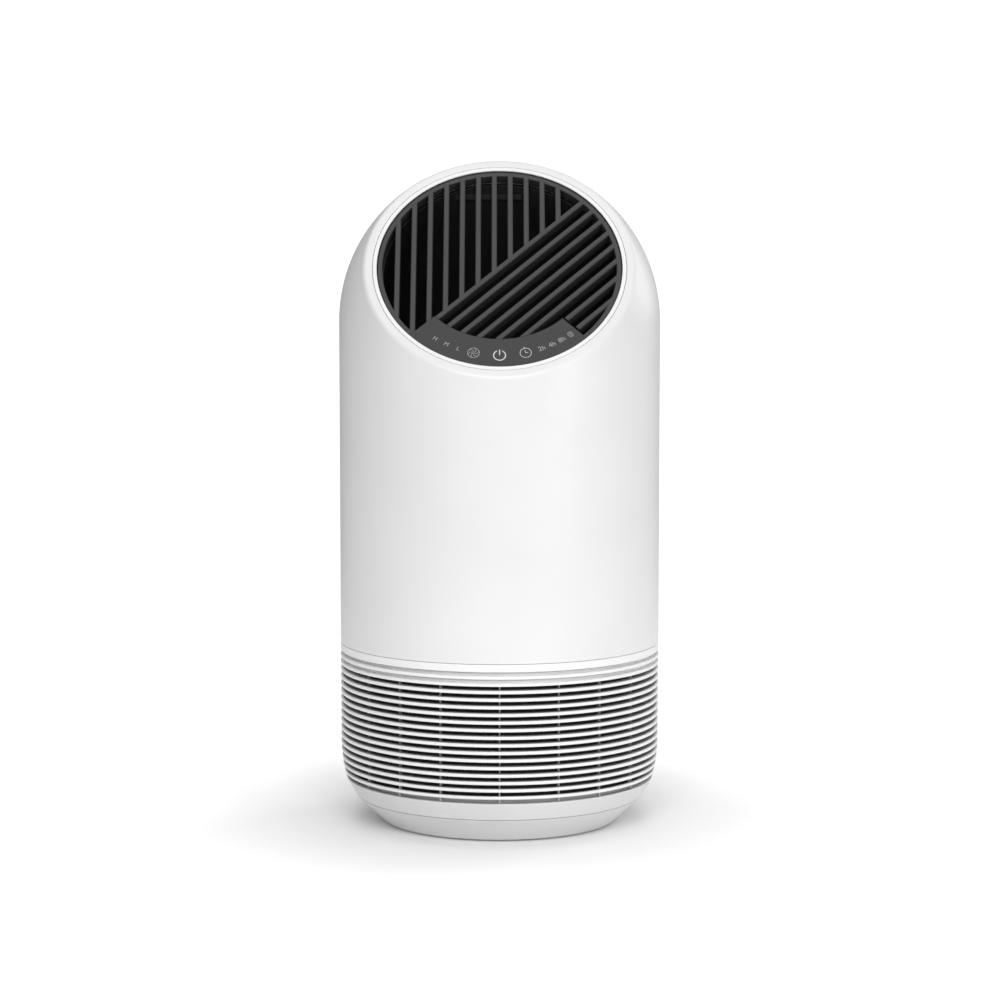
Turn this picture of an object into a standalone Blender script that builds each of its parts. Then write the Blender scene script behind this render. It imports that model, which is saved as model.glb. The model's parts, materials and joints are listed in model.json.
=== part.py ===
"""Cylindrical room air purifier with a slanted top outlet, as separate pieces at real size.

Metres, +Z up, front towards -Y. The origin is on the floor, at the centre of the body.
Azimuths run from the front (-Y) towards +X. Pieces in the slanted outlet are built flat, in the
outlet's own frame (local Z is its outward normal), and hang on the empty outlet_plane.
"""

import math

import bmesh
import bpy
from mathutils import Matrix, Vector

MM = 0.001
GAP = 0.3 * MM  # between pieces that meet
TURN = 2 * math.pi

# Body
BODY_R = 105 * MM
WALL = 2.5 * MM
HEAD_Z = 330.1 * MM  # centre of the spherical head
BLEND_Z = 250 * MM  # the front of the head begins to draw in above this
SEAM_Z = 119.3 * MM  # between the housing and the intake collar
OUTLET_TILT = math.radians(39.15)  # of the outlet's normal above the horizon
OUTLET_D = 59 * MM  # from the head's centre to the outlet plane
RIM_FLAT_R = 85 * MM
RIM_BORE_R = 81.4 * MM
RIM_T = 4 * MM
RIM_FILLET = 2.4 * MM
BODY_STEPS = 40
INNER_STEPS = 28

# Outlet, measured in its own plane
BEZEL_IN_R = 78.6 * MM
BEZEL_OUT_R = RIM_BORE_R - GAP
BEZEL_FLANGE_R = 84.4 * MM  # it catches under the housing's rim
BEZEL_LEDGE_R = 76 * MM  # it carries the grille
BEZEL_LEDGE_T = 1.8 * MM
GRILLE_R = BEZEL_IN_R - GAP
GRILLE_FRAME = 3.4 * MM
GRILLE_TOP = -1.2 * MM
GRILLE_DEPTH = 7 * MM
GRILLE_BOTTOM = GRILLE_TOP - GRILLE_DEPTH
BAR_W = 3.6 * MM
UPRIGHT_PITCH = 10.32 * MM
UPRIGHT_FIRST = -65.35 * MM
UPRIGHT_COUNT = 11
SLANT_PITCH = 9.775 * MM
SLANT_COUNT = 8
PANEL_IN_R = 58 * MM  # of the pocket that the touch panel caps
PANEL_FROM = math.radians(-45.2)
PANEL_TO = math.radians(43.0)
PANEL_T = 1.8 * MM
TRAY_WALL = 1.5 * MM
TRAY_IN_R = PANEL_IN_R - TRAY_WALL
TRAY_END = math.radians(1.6)  # the tray's end walls reach this far past the pocket
TRAY_T = 3 * MM
SEAT_SLACK = math.radians(0.3)
TRAY_HOLE = (68 * MM, math.radians(38))  # radius and angle of the hole for the panel's lead
TOUCH_BOARD_T = 1.4 * MM

# Intake grille
RIB_IN_R = 96 * MM
SLAT_IN_R = 99.3 * MM
COLLAR_FLANGE_R = 90.5 * MM
COLLAR_FLANGE_TOP = 109.5 * MM
FIRST_GAP_TOP = 105.2 * MM
SLAT_PITCH = 4.86 * MM
SLAT_GAP = 2.75 * MM
GAP_COUNT = 15
GRILLE_BASE_Z = 29.7 * MM
# Height and radius up the foot of the intake, in millimetres
INTAKE_PROFILE = [(29.7, 101.4), (33, 102.9), (35, 103.6), (42, 104.6), (50, 104.9), (60, 105)]
SCREW_HOLE_BOTTOM_Z = 106.4 * MM
RIB_HALF = math.radians(0.5)
RIB_AZIMUTHS = [math.radians(a) for a in (0, 22.3, 40.1, 58.9, 76)]  # and mirrored both ways
SIDE_AZIMUTH = math.pi / 2

# Base and bottom cover
BASE_TOP_Z = 29.4 * MM
BASE_SEAM_Z = 17.55 * MM
COVER_UNDER_Z = 1.2 * MM
COVER_FLOOR_Z = 4.2 * MM
COLLAR_R = 88.4 * MM
COLLAR_T = 2.2 * MM
COVER_COLLAR_TOP = 27 * MM
BASE_BORE_R = COLLAR_R + 0.9 * MM
BASE_CHAMBER_R = 92.6 * MM
LEDGE_TOP_Z = 23.2 * MM
LUG_R = 91 * MM
LUG_HALF = math.radians(4)
NOTCH_HALF = math.radians(5.5)
LUG_Z = (24 * MM, 26.4 * MM)
QUARTERS = [math.radians(45 + 90 * i) for i in range(4)]
FOOT_R = 6 * MM
FOOT_CIRCLE_R = 64 * MM
FOOT_TOP_Z = 2.9 * MM
SADDLE_R = (66 * MM, 72 * MM)
SADDLE_TOP_Z = 10.7 * MM

# Filter cartridge
CARTRIDGE_R = 84 * MM
CARTRIDGE_Z = (11 * MM, 105.5 * MM)
CAP_T = 2.5 * MM
CAP_LIP = 5 * MM
LIP_T = 1.7 * MM
MEDIA_R = (60 * MM, 80.2 * MM)
SLEEVE_R = (80.6 * MM, 82 * MM)
CARBON_R = (54.5 * MM, 59.6 * MM)
CORE_R = 52 * MM
GASKET_R = (54 * MM, 62 * MM)
GASKET_TOP_Z = 109.4 * MM

# Fan
DECK_Z = (109.9 * MM, 112.4 * MM)
DECK_R = 97.2 * MM
INLET_R = 50 * MM
BELL_TOP_Z = 117.5 * MM
GUARD_Z = (110 * MM, 112 * MM)
GUARD_RIM_R = 46.8 * MM
GUARD_RING_R = (31 * MM, 33 * MM)
GUARD_HUB_R = 14 * MM
CASING_R = (90 * MM, 92 * MM)
CASING_Z = (112.8 * MM, 145.6 * MM)
CASING_FLANGE_T = 2 * MM
IMPELLER_R = 77 * MM
IMPELLER_EYE_R = 54.5 * MM
IMPELLER_Z = (119.2 * MM, 143 * MM)
IMPELLER_PLATE_T = 1.8 * MM
HUB_R = 8 * MM
HUB_BOTTOM_Z = 127 * MM
BLADE_COUNT = 9
BLADE_T = 1.6 * MM
BLADE_SWEEP = math.radians(48)
SHAFT_R = 2.5 * MM
SHAFT_Z = (121 * MM, 180.4 * MM)
SHAFT_BORE_R = SHAFT_R + GAP
NUT_R = 5.5 * MM
NUT_Z = (122.6 * MM, 126.7 * MM)

# Diffuser and motor
DIFFUSER_Z = (146 * MM, 184 * MM)
CUP_R = (58 * MM, 60 * MM)
PLATE_TOP_Z = 148.2 * MM
PLATE_HOLE_R = 12 * MM
VANE_COUNT = 9
VANE_R = (59 * MM, 91 * MM)
VANE_T = 1.8 * MM
VANE_LEAN = math.radians(24)
VANE_Z = (153 * MM, 179 * MM)
MOTOR_R = 30 * MM
MOTOR_FLANGE_R = 42 * MM
MOTOR_Z = (150.6 * MM, 183 * MM)
MOTOR_FLANGE_TOP = 152.8 * MM
MOTOR_BORE_R = 27.3 * MM
BEARING_R = 8 * MM
LOWER_BEARING_Z = (152.7 * MM, 156.9 * MM)
UPPER_BEARING_Z = (176.5 * MM, 180.9 * MM)
STATOR_R = (16.6 * MM, 27 * MM)
STATOR_Z = (158 * MM, 175 * MM)
ROTOR_R = 15.8 * MM
MOTOR_SCREW_R = 36.5 * MM
MOTOR_SCREW_AZIMUTHS = [math.radians(30 + 120 * i) for i in range(3)]
DAMPER_R = (2.1 * MM, 5.5 * MM)
SHANK_R = 1.4 * MM
SHANK_HOLE_R = 1.7 * MM
HEAD_R = 3 * MM
HEAD_T = 2.2 * MM
DECK_SCREW_R = 94.2 * MM
DECK_SCREW_END_Z = 107 * MM
MOTOR_SCREW_END_Z = 146.6 * MM

# Air duct
DUCT_R = (90 * MM, 92 * MM)
DUCT_BOTTOM_Z = 184.4 * MM
DUCT_BEND_Z = 232 * MM
DUCT_TOP_R = (74.5 * MM, 76.5 * MM)
DUCT_TOP_DEPTH = 10.8 * MM
DUCT_STEPS = INNER_STEPS

# Electrics, behind the duct
BOARD_HALF_W = 36 * MM
BOARD_Y = (86 * MM, 87.6 * MM)
BOARD_Z = (262 * MM, 332 * MM)
POST_X = 30 * MM
POST_Z = (275 * MM, 325 * MM)
POST_R = 3.2 * MM
POST_END_Y = 99.2 * MM
SOCKET_Z = 133 * MM
SOCKET_R = 6.2 * MM
SOCKET_Y = 93.2 * MM
LEAD_R = 1.3 * MM
LEAD_END = Vector((0, 90.7 * MM, 261.6 * MM))
MOTOR_LEAD_HOLE_Z = 206 * MM


def clear_scene():
    for obj in list(bpy.data.objects):
        bpy.data.objects.remove(obj, do_unlink=True)


def make_material(name, color, roughness, metallic=0.0):
    material = bpy.data.materials.new(name)
    material.use_nodes = True
    shader = material.node_tree.nodes["Principled BSDF"]
    shader.inputs["Base Color"].default_value = (*color, 1.0)
    shader.inputs["Roughness"].default_value = roughness
    shader.inputs["Metallic"].default_value = metallic
    material.diffuse_color = (*color, 1.0)
    return material


def make_empty(name, location=(0, 0, 0), rotation=(0, 0, 0)):
    empty = bpy.data.objects.new(name, None)
    empty.empty_display_size = 0.02
    empty.location = location
    empty.rotation_euler = rotation
    bpy.context.collection.objects.link(empty)
    return empty


def make_object(name, bm, material=None, parent=None):
    bmesh.ops.recalc_face_normals(bm, faces=bm.faces)
    mesh = bpy.data.meshes.new(name)
    bm.to_mesh(mesh)
    bm.free()
    mesh.shade_smooth()
    mesh.set_sharp_from_angle(angle=math.radians(35))
    if material:
        mesh.materials.append(material)
    obj = bpy.data.objects.new(name, mesh)
    obj.parent = parent
    bpy.context.collection.objects.link(obj)
    return obj


def combine(obj, tool, operation):
    """Joins the tool to the object, or cuts it away, and removes the tool."""
    modifier = obj.modifiers.new("Combine", "BOOLEAN")
    modifier.operation = operation
    modifier.solver = "EXACT"
    modifier.object = tool
    bpy.context.view_layer.update()
    graph = bpy.context.evaluated_depsgraph_get()
    mesh = bpy.data.meshes.new_from_object(obj.evaluated_get(graph))
    obj.modifiers.clear()
    obj.data = mesh
    mesh.name = obj.name
    bpy.data.objects.remove(tool, do_unlink=True)


def join(obj, tool):
    combine(obj, tool, "UNION")


def cut(obj, tool):
    combine(obj, tool, "DIFFERENCE")


def round_point(radius, azimuth, z):
    return Vector((radius * math.sin(azimuth), -radius * math.cos(azimuth), z))


def add_rings(bm, rings):
    """Bridges rings of points one after another and back to the first. A ring of one point is a tip."""
    loops = [[bm.verts.new(point) for point in ring] for ring in rings]
    for first, second in zip(loops, loops[1:] + loops[:1]):
        count = max(len(first), len(second))
        for i in range(count):
            j = (i + 1) % count
            if len(first) == len(second) == 1:
                break
            if len(first) == 1:
                bm.faces.new((first[0], second[j], second[i]))
            elif len(second) == 1:
                bm.faces.new((first[i], first[j], second[0]))
            else:
                bm.faces.new((first[i], first[j], second[j], second[i]))


def turned(name, outline, material=None, parent=None, steps=INNER_STEPS):
    """A piece turned about Z from a closed outline of (radius, z) points."""
    rings = []
    for radius, z in outline:
        count = 1 if radius == 0 else steps
        rings.append([round_point(radius, TURN * i / steps, z) for i in range(count)])
    bm = bmesh.new()
    add_rings(bm, rings)
    return make_object(name, bm, material, parent)


def tube(name, radii, heights, material=None, parent=None, steps=INNER_STEPS):
    (inner, outer), (low, high) = radii, heights
    outline = [(inner, low), (outer, low), (outer, high), (inner, high)]
    return turned(name, outline, material, parent, steps)


def rod(name, radius, heights, material=None, parent=None, steps=16):
    low, high = heights
    outline = [(0, low), (radius, low), (radius, high), (0, high)]
    return turned(name, outline, material, parent, steps)


def prism(name, outline, heights, material=None, parent=None):
    """A flat outline of (x, y) points, raised between two heights."""
    bm = bmesh.new()
    low, high = ([bm.verts.new((x, y, z)) for x, y in outline] for z in heights)
    bm.faces.new(low)
    bm.faces.new(high)
    for i in range(len(outline)):
        j = (i + 1) % len(outline)
        bm.faces.new((low[i], low[j], high[j], high[i]))
    return make_object(name, bm, material, parent)


def box(name, low, high, material=None, parent=None):
    outline = [(low[0], low[1]), (high[0], low[1]), (high[0], high[1]), (low[0], high[1])]
    return prism(name, outline, (low[2], high[2]), material, parent)


def sector_outline(radii, azimuths, steps):
    inner, outer = radii
    start, end = azimuths
    turns = [start + (end - start) * i / steps for i in range(steps + 1)]
    points = [round_point(outer, a, 0) for a in turns]
    points += [round_point(inner, a, 0) for a in reversed(turns)]
    return [(point.x, point.y) for point in points]


def sector(name, radii, azimuths, heights, material=None, parent=None, steps=20):
    return prism(name, sector_outline(radii, azimuths, steps), heights, material, parent)


def place(obj, matrix):
    """Bakes a placement into the mesh, so that the object's origin stays on the body's axis."""
    obj.data.transform(matrix)
    return obj


def along_y(x, y, z):
    """Takes a piece built up along Z to one that runs towards +Y from a point."""
    return Matrix.Translation((x, y, z)) @ Matrix.Rotation(-math.pi / 2, 4, "X")


def aligned(start, end):
    """Takes a piece built up along Z to one that runs from start towards end."""
    turn = (end - start).to_track_quat("Z", "Y").to_matrix().to_4x4()
    return Matrix.Translation(start) @ turn


# The head's skin


def outlet_point(radius, angle, depth=0.0):
    """A world point in the outlet plane. The angle runs from the plane's low front point."""
    normal = Vector((0, -math.cos(OUTLET_TILT), math.sin(OUTLET_TILT)))
    uphill = Vector((0, math.sin(OUTLET_TILT), math.cos(OUTLET_TILT)))
    centre = Vector((0, 0, HEAD_Z)) + normal * (OUTLET_D - depth)
    return centre + Vector((radius * math.sin(angle), 0, 0)) - uphill * radius * math.cos(angle)


def rim_latitude(azimuth, body_r, plane_d):
    """The latitude on the head's sphere where the outlet plane cuts it."""
    level = math.cos(azimuth) * math.cos(OUTLET_TILT)
    rise = math.sin(OUTLET_TILT)
    reach = plane_d / body_r / math.hypot(level, rise)
    if reach >= 1:
        return math.pi / 2
    return math.atan2(rise, level) - math.acos(reach)


def on_skin(point, body_r, plane_d):
    """The point moved onto the skin: a sphere above HEAD_Z and a drawn-in cylinder below it."""
    if point.z >= HEAD_Z:
        centre = Vector((0, 0, HEAD_Z))
        return centre + (point - centre).normalized() * body_r
    azimuth = math.atan2(point.x, -point.y)
    latitude = min(rim_latitude(azimuth, body_r, plane_d), 0)
    rim_z = HEAD_Z + body_r * math.sin(latitude)
    share = min(max((point.z - BLEND_Z) / (rim_z - BLEND_Z), 0), 1)
    drawn_in = body_r * (1 - math.cos(latitude)) * share * share * (3 - 2 * share)
    return round_point(body_r - drawn_in, azimuth, point.z)


def evenly_spaced(points, count):
    """Picks count points at equal distances along a dense line of points."""
    lengths = [0.0]
    for a, b in zip(points, points[1:]):
        lengths.append(lengths[-1] + (b - a).length)
    picked = []
    index = 0
    for k in range(count):
        target = lengths[-1] * k / (count - 1)
        while index < len(points) - 2 and lengths[index + 1] < target:
            index += 1
        share = (target - lengths[index]) / (lengths[index + 1] - lengths[index])
        picked.append(points[index].lerp(points[index + 1], share))
    return picked


def skin_line(angle, body_r, plane_d, count, start=0.0):
    """Points down the skin from the outlet's rim (or start metres below it) to BLEND_Z."""
    rim_r = math.sqrt(body_r**2 - plane_d**2)
    rim = outlet_point(rim_r, angle, OUTLET_D - plane_d)
    foot = round_point(body_r, angle, BLEND_Z)
    dense = [on_skin(rim.lerp(foot, i / 200), body_r, plane_d) for i in range(201)]
    dense[0] = rim
    while start and (dense[1] - rim).length < start:
        dense.pop(0)
    return evenly_spaced(dense, count)


def make_upper_housing(material):
    inner_r = BODY_R - WALL
    inner_d = OUTLET_D - RIM_T
    rim_r = math.sqrt(BODY_R**2 - OUTLET_D**2)
    foot_z = SEAM_Z + GAP / 2
    columns = []
    for i in range(BODY_STEPS):
        angle = TURN * i / BODY_STEPS
        outer = skin_line(angle, BODY_R, OUTLET_D, 9, RIM_FILLET)
        corner = outlet_point(rim_r, angle)
        flat = outlet_point(RIM_FLAT_R, angle)
        fillet = [flat.lerp(corner, t).lerp(corner.lerp(outer[0], t), t) for t in (0, 0.5)]
        bore = [outlet_point(RIM_BORE_R, angle), outlet_point(RIM_BORE_R, angle, RIM_T)]
        inner = skin_line(angle, inner_r, inner_d, 5)
        column = [round_point(BODY_R, angle, foot_z)] + outer[::-1] + fillet[::-1] + bore
        columns.append(column + inner + [round_point(inner_r, angle, foot_z)])
    bm = bmesh.new()
    add_rings(bm, list(zip(*columns)))
    housing = make_object("upper_housing", bm, material)
    add_board_posts(housing)
    socket_hole = rod("socket_hole", SOCKET_R + GAP, (0, 20 * MM))
    cut(housing, place(socket_hole, along_y(0, 95 * MM, SOCKET_Z)))


def add_board_posts(housing):
    start_y = BOARD_Y[1] + GAP
    for x in (-POST_X, POST_X):
        for z in POST_Z:
            post = rod("post", POST_R, (0, POST_END_Y - start_y), steps=12)
            join(housing, place(post, along_y(x, start_y, z)))
            hole = rod("post_hole", SHANK_HOLE_R, (0, 9 * MM), steps=12)
            cut(housing, place(hole, along_y(x, start_y - 1 * MM, z)))


# The slanted outlet


def make_outlet_bezel(material, parent):
    flange_top = -RIM_T - GAP
    ledge_top = GRILLE_BOTTOM - GAP
    ledge_low = ledge_top - BEZEL_LEDGE_T
    outline = [
        (BEZEL_IN_R, 0),
        (BEZEL_OUT_R, 0),
        (BEZEL_OUT_R, flange_top),
        (BEZEL_FLANGE_R, flange_top),
        (BEZEL_OUT_R, ledge_low),
        (BEZEL_LEDGE_R, ledge_low),
        (BEZEL_LEDGE_R, ledge_top),
        (BEZEL_IN_R, ledge_top),
    ]
    return turned("outlet_bezel", outline, material, parent, BODY_STEPS)


def grille_bar(start, end, width):
    """A straight bar of the outlet grille between two points of its plane."""
    run = (end - start).normalized()
    side = Vector((-run.y, run.x)) * width / 2
    corners = [start - side, end - side, end + side, start + side]
    return prism("bar", [tuple(corner) for corner in corners], (GRILLE_BOTTOM, GRILLE_TOP))


def upright_bars():
    anchor_r = GRILLE_R - GRILLE_FRAME / 2
    for k in range(UPRIGHT_COUNT):
        u = UPRIGHT_FIRST + UPRIGHT_PITCH * k
        edge = math.sqrt(anchor_r**2 - u**2)
        yield grille_bar(Vector((u, max(u, -edge))), Vector((u, edge)), BAR_W)


def slanted_bars():
    anchor_r = GRILLE_R - GRILLE_FRAME / 2
    wall_r = TRAY_IN_R + TRAY_WALL / 2
    along = Vector((1, 1)).normalized()
    across = Vector((1, -1)).normalized()
    for k in range(SLANT_COUNT):
        offset = SLANT_PITCH * k
        reach = math.sqrt(anchor_r**2 - offset**2)
        start = -math.sqrt(wall_r**2 - offset**2) if offset < wall_r else 1 * MM
        yield grille_bar(across * offset + along * start, across * offset + along * reach, BAR_W)


def tray_reach(more=0.0):
    """The azimuths that the touch panel's tray spans, ends included."""
    return PANEL_FROM - TRAY_END - more, PANEL_TO + TRAY_END + more


def make_outlet_grille(material, parent):
    """A ring with its bars, and a tray for the touch panel's board."""
    heights = (GRILLE_BOTTOM, GRILLE_TOP)
    frame_in_r = GRILLE_R - GRILLE_FRAME
    grille = tube("outlet_grille", (frame_in_r, GRILLE_R), heights, steps=BODY_STEPS)
    join(grille, sector("block", (TRAY_IN_R, GRILLE_R - GAP), tray_reach(), heights, steps=18))
    for bar in [*upright_bars(), *slanted_bars()]:
        join(grille, bar)
    above = GRILLE_TOP + 2 * MM
    beyond_r = GRILLE_R + 1 * MM
    seat_z = (GRILLE_TOP - PANEL_T - GAP, above)
    cut(grille, sector("seat", (TRAY_IN_R - GAP, beyond_r), tray_reach(SEAT_SLACK), seat_z, steps=18))
    pocket_z = (GRILLE_BOTTOM + TRAY_T, above)
    cut(grille, sector("pocket", (PANEL_IN_R, beyond_r), (PANEL_FROM, PANEL_TO), pocket_z, steps=18))
    hole = rod("lead_hole", LEAD_R + 1 * MM, (GRILLE_BOTTOM - 1 * MM, above), steps=12)
    cut(grille, place(hole, Matrix.Translation(round_point(*TRAY_HOLE, 0))))
    grille.data.materials.clear()
    grille.data.materials.append(material)
    grille.parent = parent


def make_touch_panel(panel_material, board_material, parent):
    """The panel caps the tray, and its board lies just under it in the pocket."""
    low = GRILLE_TOP - PANEL_T
    sector("touch_panel", (TRAY_IN_R, GRILLE_R), tray_reach(), (low, GRILLE_TOP), panel_material, parent)
    inset = 2.5 * MM
    end_inset = inset / PANEL_IN_R
    board_top = low - GAP
    board_r = (PANEL_IN_R + inset, GRILLE_R - inset)
    board_reach = (PANEL_FROM + end_inset, PANEL_TO - end_inset)
    heights = (board_top - TOUCH_BOARD_T, board_top)
    sector("touch_board", board_r, board_reach, heights, board_material, parent, steps=12)


# The intake grille and the base


def collar_radius(z):
    """The outer radius of the slats, which draws in towards the base."""
    for (low, low_r), (high, high_r) in zip(INTAKE_PROFILE, INTAKE_PROFILE[1:]):
        if z <= high * MM:
            return (low_r + (high_r - low_r) * (z / MM - low) / (high - low)) * MM
    return BODY_R


def rib_azimuths():
    quarter = [a for a in RIB_AZIMUTHS if a > 0]
    front = [-a for a in reversed(quarter)] + [0.0] + quarter
    return front + [math.pi + a for a in front]


def intake_columns():
    """Angular edges round the grille, each with whether a rib fills the column that starts there."""
    edges = []
    for azimuth in rib_azimuths():
        edges += [(azimuth - RIB_HALF, True), (azimuth + RIB_HALF, False)]
    edges += [(SIDE_AZIMUTH, False), (3 * SIDE_AZIMUTH, False)]
    return sorted(edges)


def intake_rows():
    """Heights up the grille, each with what starts there."""
    rows = [(GRILLE_BASE_Z, "sill")]
    for k in reversed(range(GAP_COUNT)):
        gap_top = FIRST_GAP_TOP - SLAT_PITCH * k
        rows.append((gap_top - SLAT_GAP, "gap"))
        rows.append((gap_top, "slat"))
    first_slat = rows[1][0] - (SLAT_PITCH - SLAT_GAP)
    rows.insert(1, (first_slat, "foot"))
    rows[-1] = (FIRST_GAP_TOP, "flange")
    rows.append((COLLAR_FLANGE_TOP, "collar"))
    rows.append((SEAM_Z - GAP / 2, None))
    return rows


def layer_is_solid(layer, part, rib):
    """Layers from the inside out: the collar's flange, the ribs, the slats."""
    if layer == "flange":
        return part == "flange"
    if layer == "rib":
        return rib or part in ("sill", "foot", "flange")
    return part in ("slat", "foot", "flange", "collar")


def make_intake_grille(material):
    columns = intake_columns()
    rows = intake_rows()
    layers = ["flange", "rib", "slat"]
    count = len(columns)

    def solid(layer, column, row):
        if not (0 <= layer < len(layers) and 0 <= row < len(rows) - 1):
            return False
        part = rows[row][1]
        rib = columns[column % count][1] and part not in ("collar", "flange")
        return layer_is_solid(layers[layer], part, rib)

    bm = bmesh.new()
    corners = {}

    def corner(edge, column, row):
        key = (edge, column % count, row)
        if key not in corners:
            z = rows[row][0]
            radius = (COLLAR_FLANGE_R, RIB_IN_R, SLAT_IN_R, collar_radius(z))[edge]
            corners[key] = bm.verts.new(round_point(radius, columns[column % count][0], z))
        return corners[key]

    for layer in range(len(layers)):
        for column in range(count):
            for row in range(len(rows) - 1):
                if solid(layer, column, row):
                    add_cell_faces(bm, corner, solid, layer, column, row)
    grille = make_object("intake_grille", bm, material)
    for azimuth in QUARTERS:
        heights = (SCREW_HOLE_BOTTOM_Z, COLLAR_FLANGE_TOP + 1.5 * MM)
        hole = rod("screw_hole", SHANK_HOLE_R, heights, steps=12)
        cut(grille, place(hole, Matrix.Translation(round_point(DECK_SCREW_R, azimuth, 0))))


def add_cell_faces(bm, corner, solid, layer, column, row):
    """The faces of one block of the grille that no solid neighbour covers."""
    home = (layer, column, row)
    sides = [
        ((-1, 0, 0), [(0, 0, 0), (0, 1, 0), (0, 1, 1), (0, 0, 1)]),
        ((1, 0, 0), [(1, 0, 0), (1, 0, 1), (1, 1, 1), (1, 1, 0)]),
        ((0, -1, 0), [(0, 0, 0), (0, 0, 1), (1, 0, 1), (1, 0, 0)]),
        ((0, 1, 0), [(0, 1, 0), (1, 1, 0), (1, 1, 1), (0, 1, 1)]),
        ((0, 0, -1), [(0, 0, 0), (1, 0, 0), (1, 1, 0), (0, 1, 0)]),
        ((0, 0, 1), [(0, 0, 1), (0, 1, 1), (1, 1, 1), (1, 0, 1)]),
    ]
    for towards, steps in sides:
        if not solid(*(here + step for here, step in zip(home, towards))):
            corners = [tuple(here + step for here, step in zip(home, steps_to)) for steps_to in steps]
            bm.faces.new([corner(*key) for key in corners])


def make_base_ring(material):
    low = BASE_SEAM_Z + GAP / 2
    outline = [
        (BASE_BORE_R, low),
        (94.7 * MM, low),
        (96.2 * MM, 20 * MM),
        (98.7 * MM, 24.3 * MM),
        (101.2 * MM, 28.9 * MM),
        (101.2 * MM, BASE_TOP_Z),
        (BASE_CHAMBER_R, BASE_TOP_Z),
        (BASE_CHAMBER_R, LEDGE_TOP_Z),
        (BASE_BORE_R, LEDGE_TOP_Z),
    ]
    ring = turned("base_ring", outline, material, steps=BODY_STEPS)
    for azimuth in QUARTERS:
        reach = (azimuth - NOTCH_HALF, azimuth + NOTCH_HALF)
        radii = (BASE_BORE_R - 2 * MM, LUG_R + 2 * GAP)
        cut(ring, sector("notch", radii, reach, (low - 1 * MM, LEDGE_TOP_Z + 1 * MM), steps=3))


def make_bottom_cover(material, parent):
    top = BASE_SEAM_Z - GAP / 2
    inner_r = COLLAR_R - COLLAR_T
    outline = [
        (0, COVER_UNDER_Z),
        (77.6 * MM, COVER_UNDER_Z),
        (79.5 * MM, 3.1 * MM),
        (83.2 * MM, 7 * MM),
        (89 * MM, 12.2 * MM),
        (94.5 * MM, top),
        (COLLAR_R, top),
        (COLLAR_R, COVER_COLLAR_TOP),
        (inner_r, COVER_COLLAR_TOP),
        (inner_r, 12.6 * MM),
        (78.2 * MM, COVER_FLOOR_Z),
        (SADDLE_R[1], COVER_FLOOR_Z),
        (SADDLE_R[1], SADDLE_TOP_Z),
        (SADDLE_R[0], SADDLE_TOP_Z),
        (SADDLE_R[0], COVER_FLOOR_Z),
        (0, COVER_FLOOR_Z),
    ]
    cover = turned("bottom_cover", outline, material, parent, BODY_STEPS)
    for azimuth in QUARTERS:
        reach = (azimuth - LUG_HALF, azimuth + LUG_HALF)
        join(cover, sector("lug", (COLLAR_R - 1 * MM, LUG_R), reach, LUG_Z, steps=2))
        pocket = rod("pocket", FOOT_R + GAP, (0, FOOT_TOP_Z + GAP), steps=16)
        cut(cover, place(pocket, Matrix.Translation(round_point(FOOT_CIRCLE_R, azimuth, 0))))


def make_feet(material, parent):
    for i, azimuth in enumerate(QUARTERS):
        bevel = 0.5 * MM
        outline = [(0, 0), (FOOT_R - bevel, 0), (FOOT_R, bevel), (FOOT_R, FOOT_TOP_Z), (0, FOOT_TOP_Z)]
        foot = turned(f"foot_pad_{i + 1}", outline, material, parent, steps=16)
        place(foot, Matrix.Translation(round_point(FOOT_CIRCLE_R, azimuth, 0)))


# The filter cartridge


def make_cartridge(colors, parent):
    low, high = CARTRIDGE_Z
    lip_in_r = CARTRIDGE_R - LIP_T
    cap_top = low + CAP_T
    bottom_cap = [
        (0, low),
        (CARTRIDGE_R, low),
        (CARTRIDGE_R, cap_top + CAP_LIP),
        (lip_in_r, cap_top + CAP_LIP),
        (lip_in_r, cap_top),
        (0, cap_top),
    ]
    turned("filter_bottom_cap", bottom_cap, colors["filter_cap"], parent)
    cap_under = high - CAP_T
    top_cap = [
        (CORE_R, cap_under),
        (lip_in_r, cap_under),
        (lip_in_r, cap_under - CAP_LIP),
        (CARTRIDGE_R, cap_under - CAP_LIP),
        (CARTRIDGE_R, high),
        (CORE_R, high),
    ]
    turned("filter_top_cap", top_cap, colors["filter_cap"], parent)
    layer_z = (cap_top + GAP, cap_under - GAP)
    tube("filter_media", MEDIA_R, layer_z, colors["filter_media"], parent)
    tube("prefilter_sleeve", SLEEVE_R, layer_z, colors["prefilter"], parent)
    tube("carbon_core", CARBON_R, layer_z, colors["carbon"], parent)
    tube("filter_gasket", GASKET_R, (high + GAP, GASKET_TOP_Z), colors["foam"], parent)
    make_pull_tab(colors["pull_tab"], parent)


def make_pull_tab(material, parent):
    """A ribbon arch under the bottom cap: its outline stands in X and Z, and runs across Y."""
    root_z = CARTRIDGE_Z[0] - GAP
    half_w = 9 * MM
    under_z = 6.3 * MM
    over_z = 7.5 * MM
    outer = [(36 * MM, root_z), (28 * MM, under_z)]
    inner = [(27 * MM, over_z), (33.5 * MM, root_z)]
    outline = [(-x, z) for x, z in outer] + outer[::-1] + inner[::-1] + [(-x, z) for x, z in inner]
    tab = prism("filter_pull_tab", outline, (-half_w, half_w), material, parent)
    place(tab, Matrix.Rotation(math.pi / 2, 4, "X"))


# The fan


def make_fan_deck(material):
    low, high = DECK_Z
    bell_r = INLET_R + 2 * MM
    outline = [
        (INLET_R, low),
        (DECK_R, low),
        (DECK_R, high),
        (bell_r, high),
        (bell_r, BELL_TOP_Z),
        (INLET_R, BELL_TOP_Z),
    ]
    deck = turned("fan_deck", outline, material)
    drill_deck_holes(deck, DECK_Z)


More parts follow.
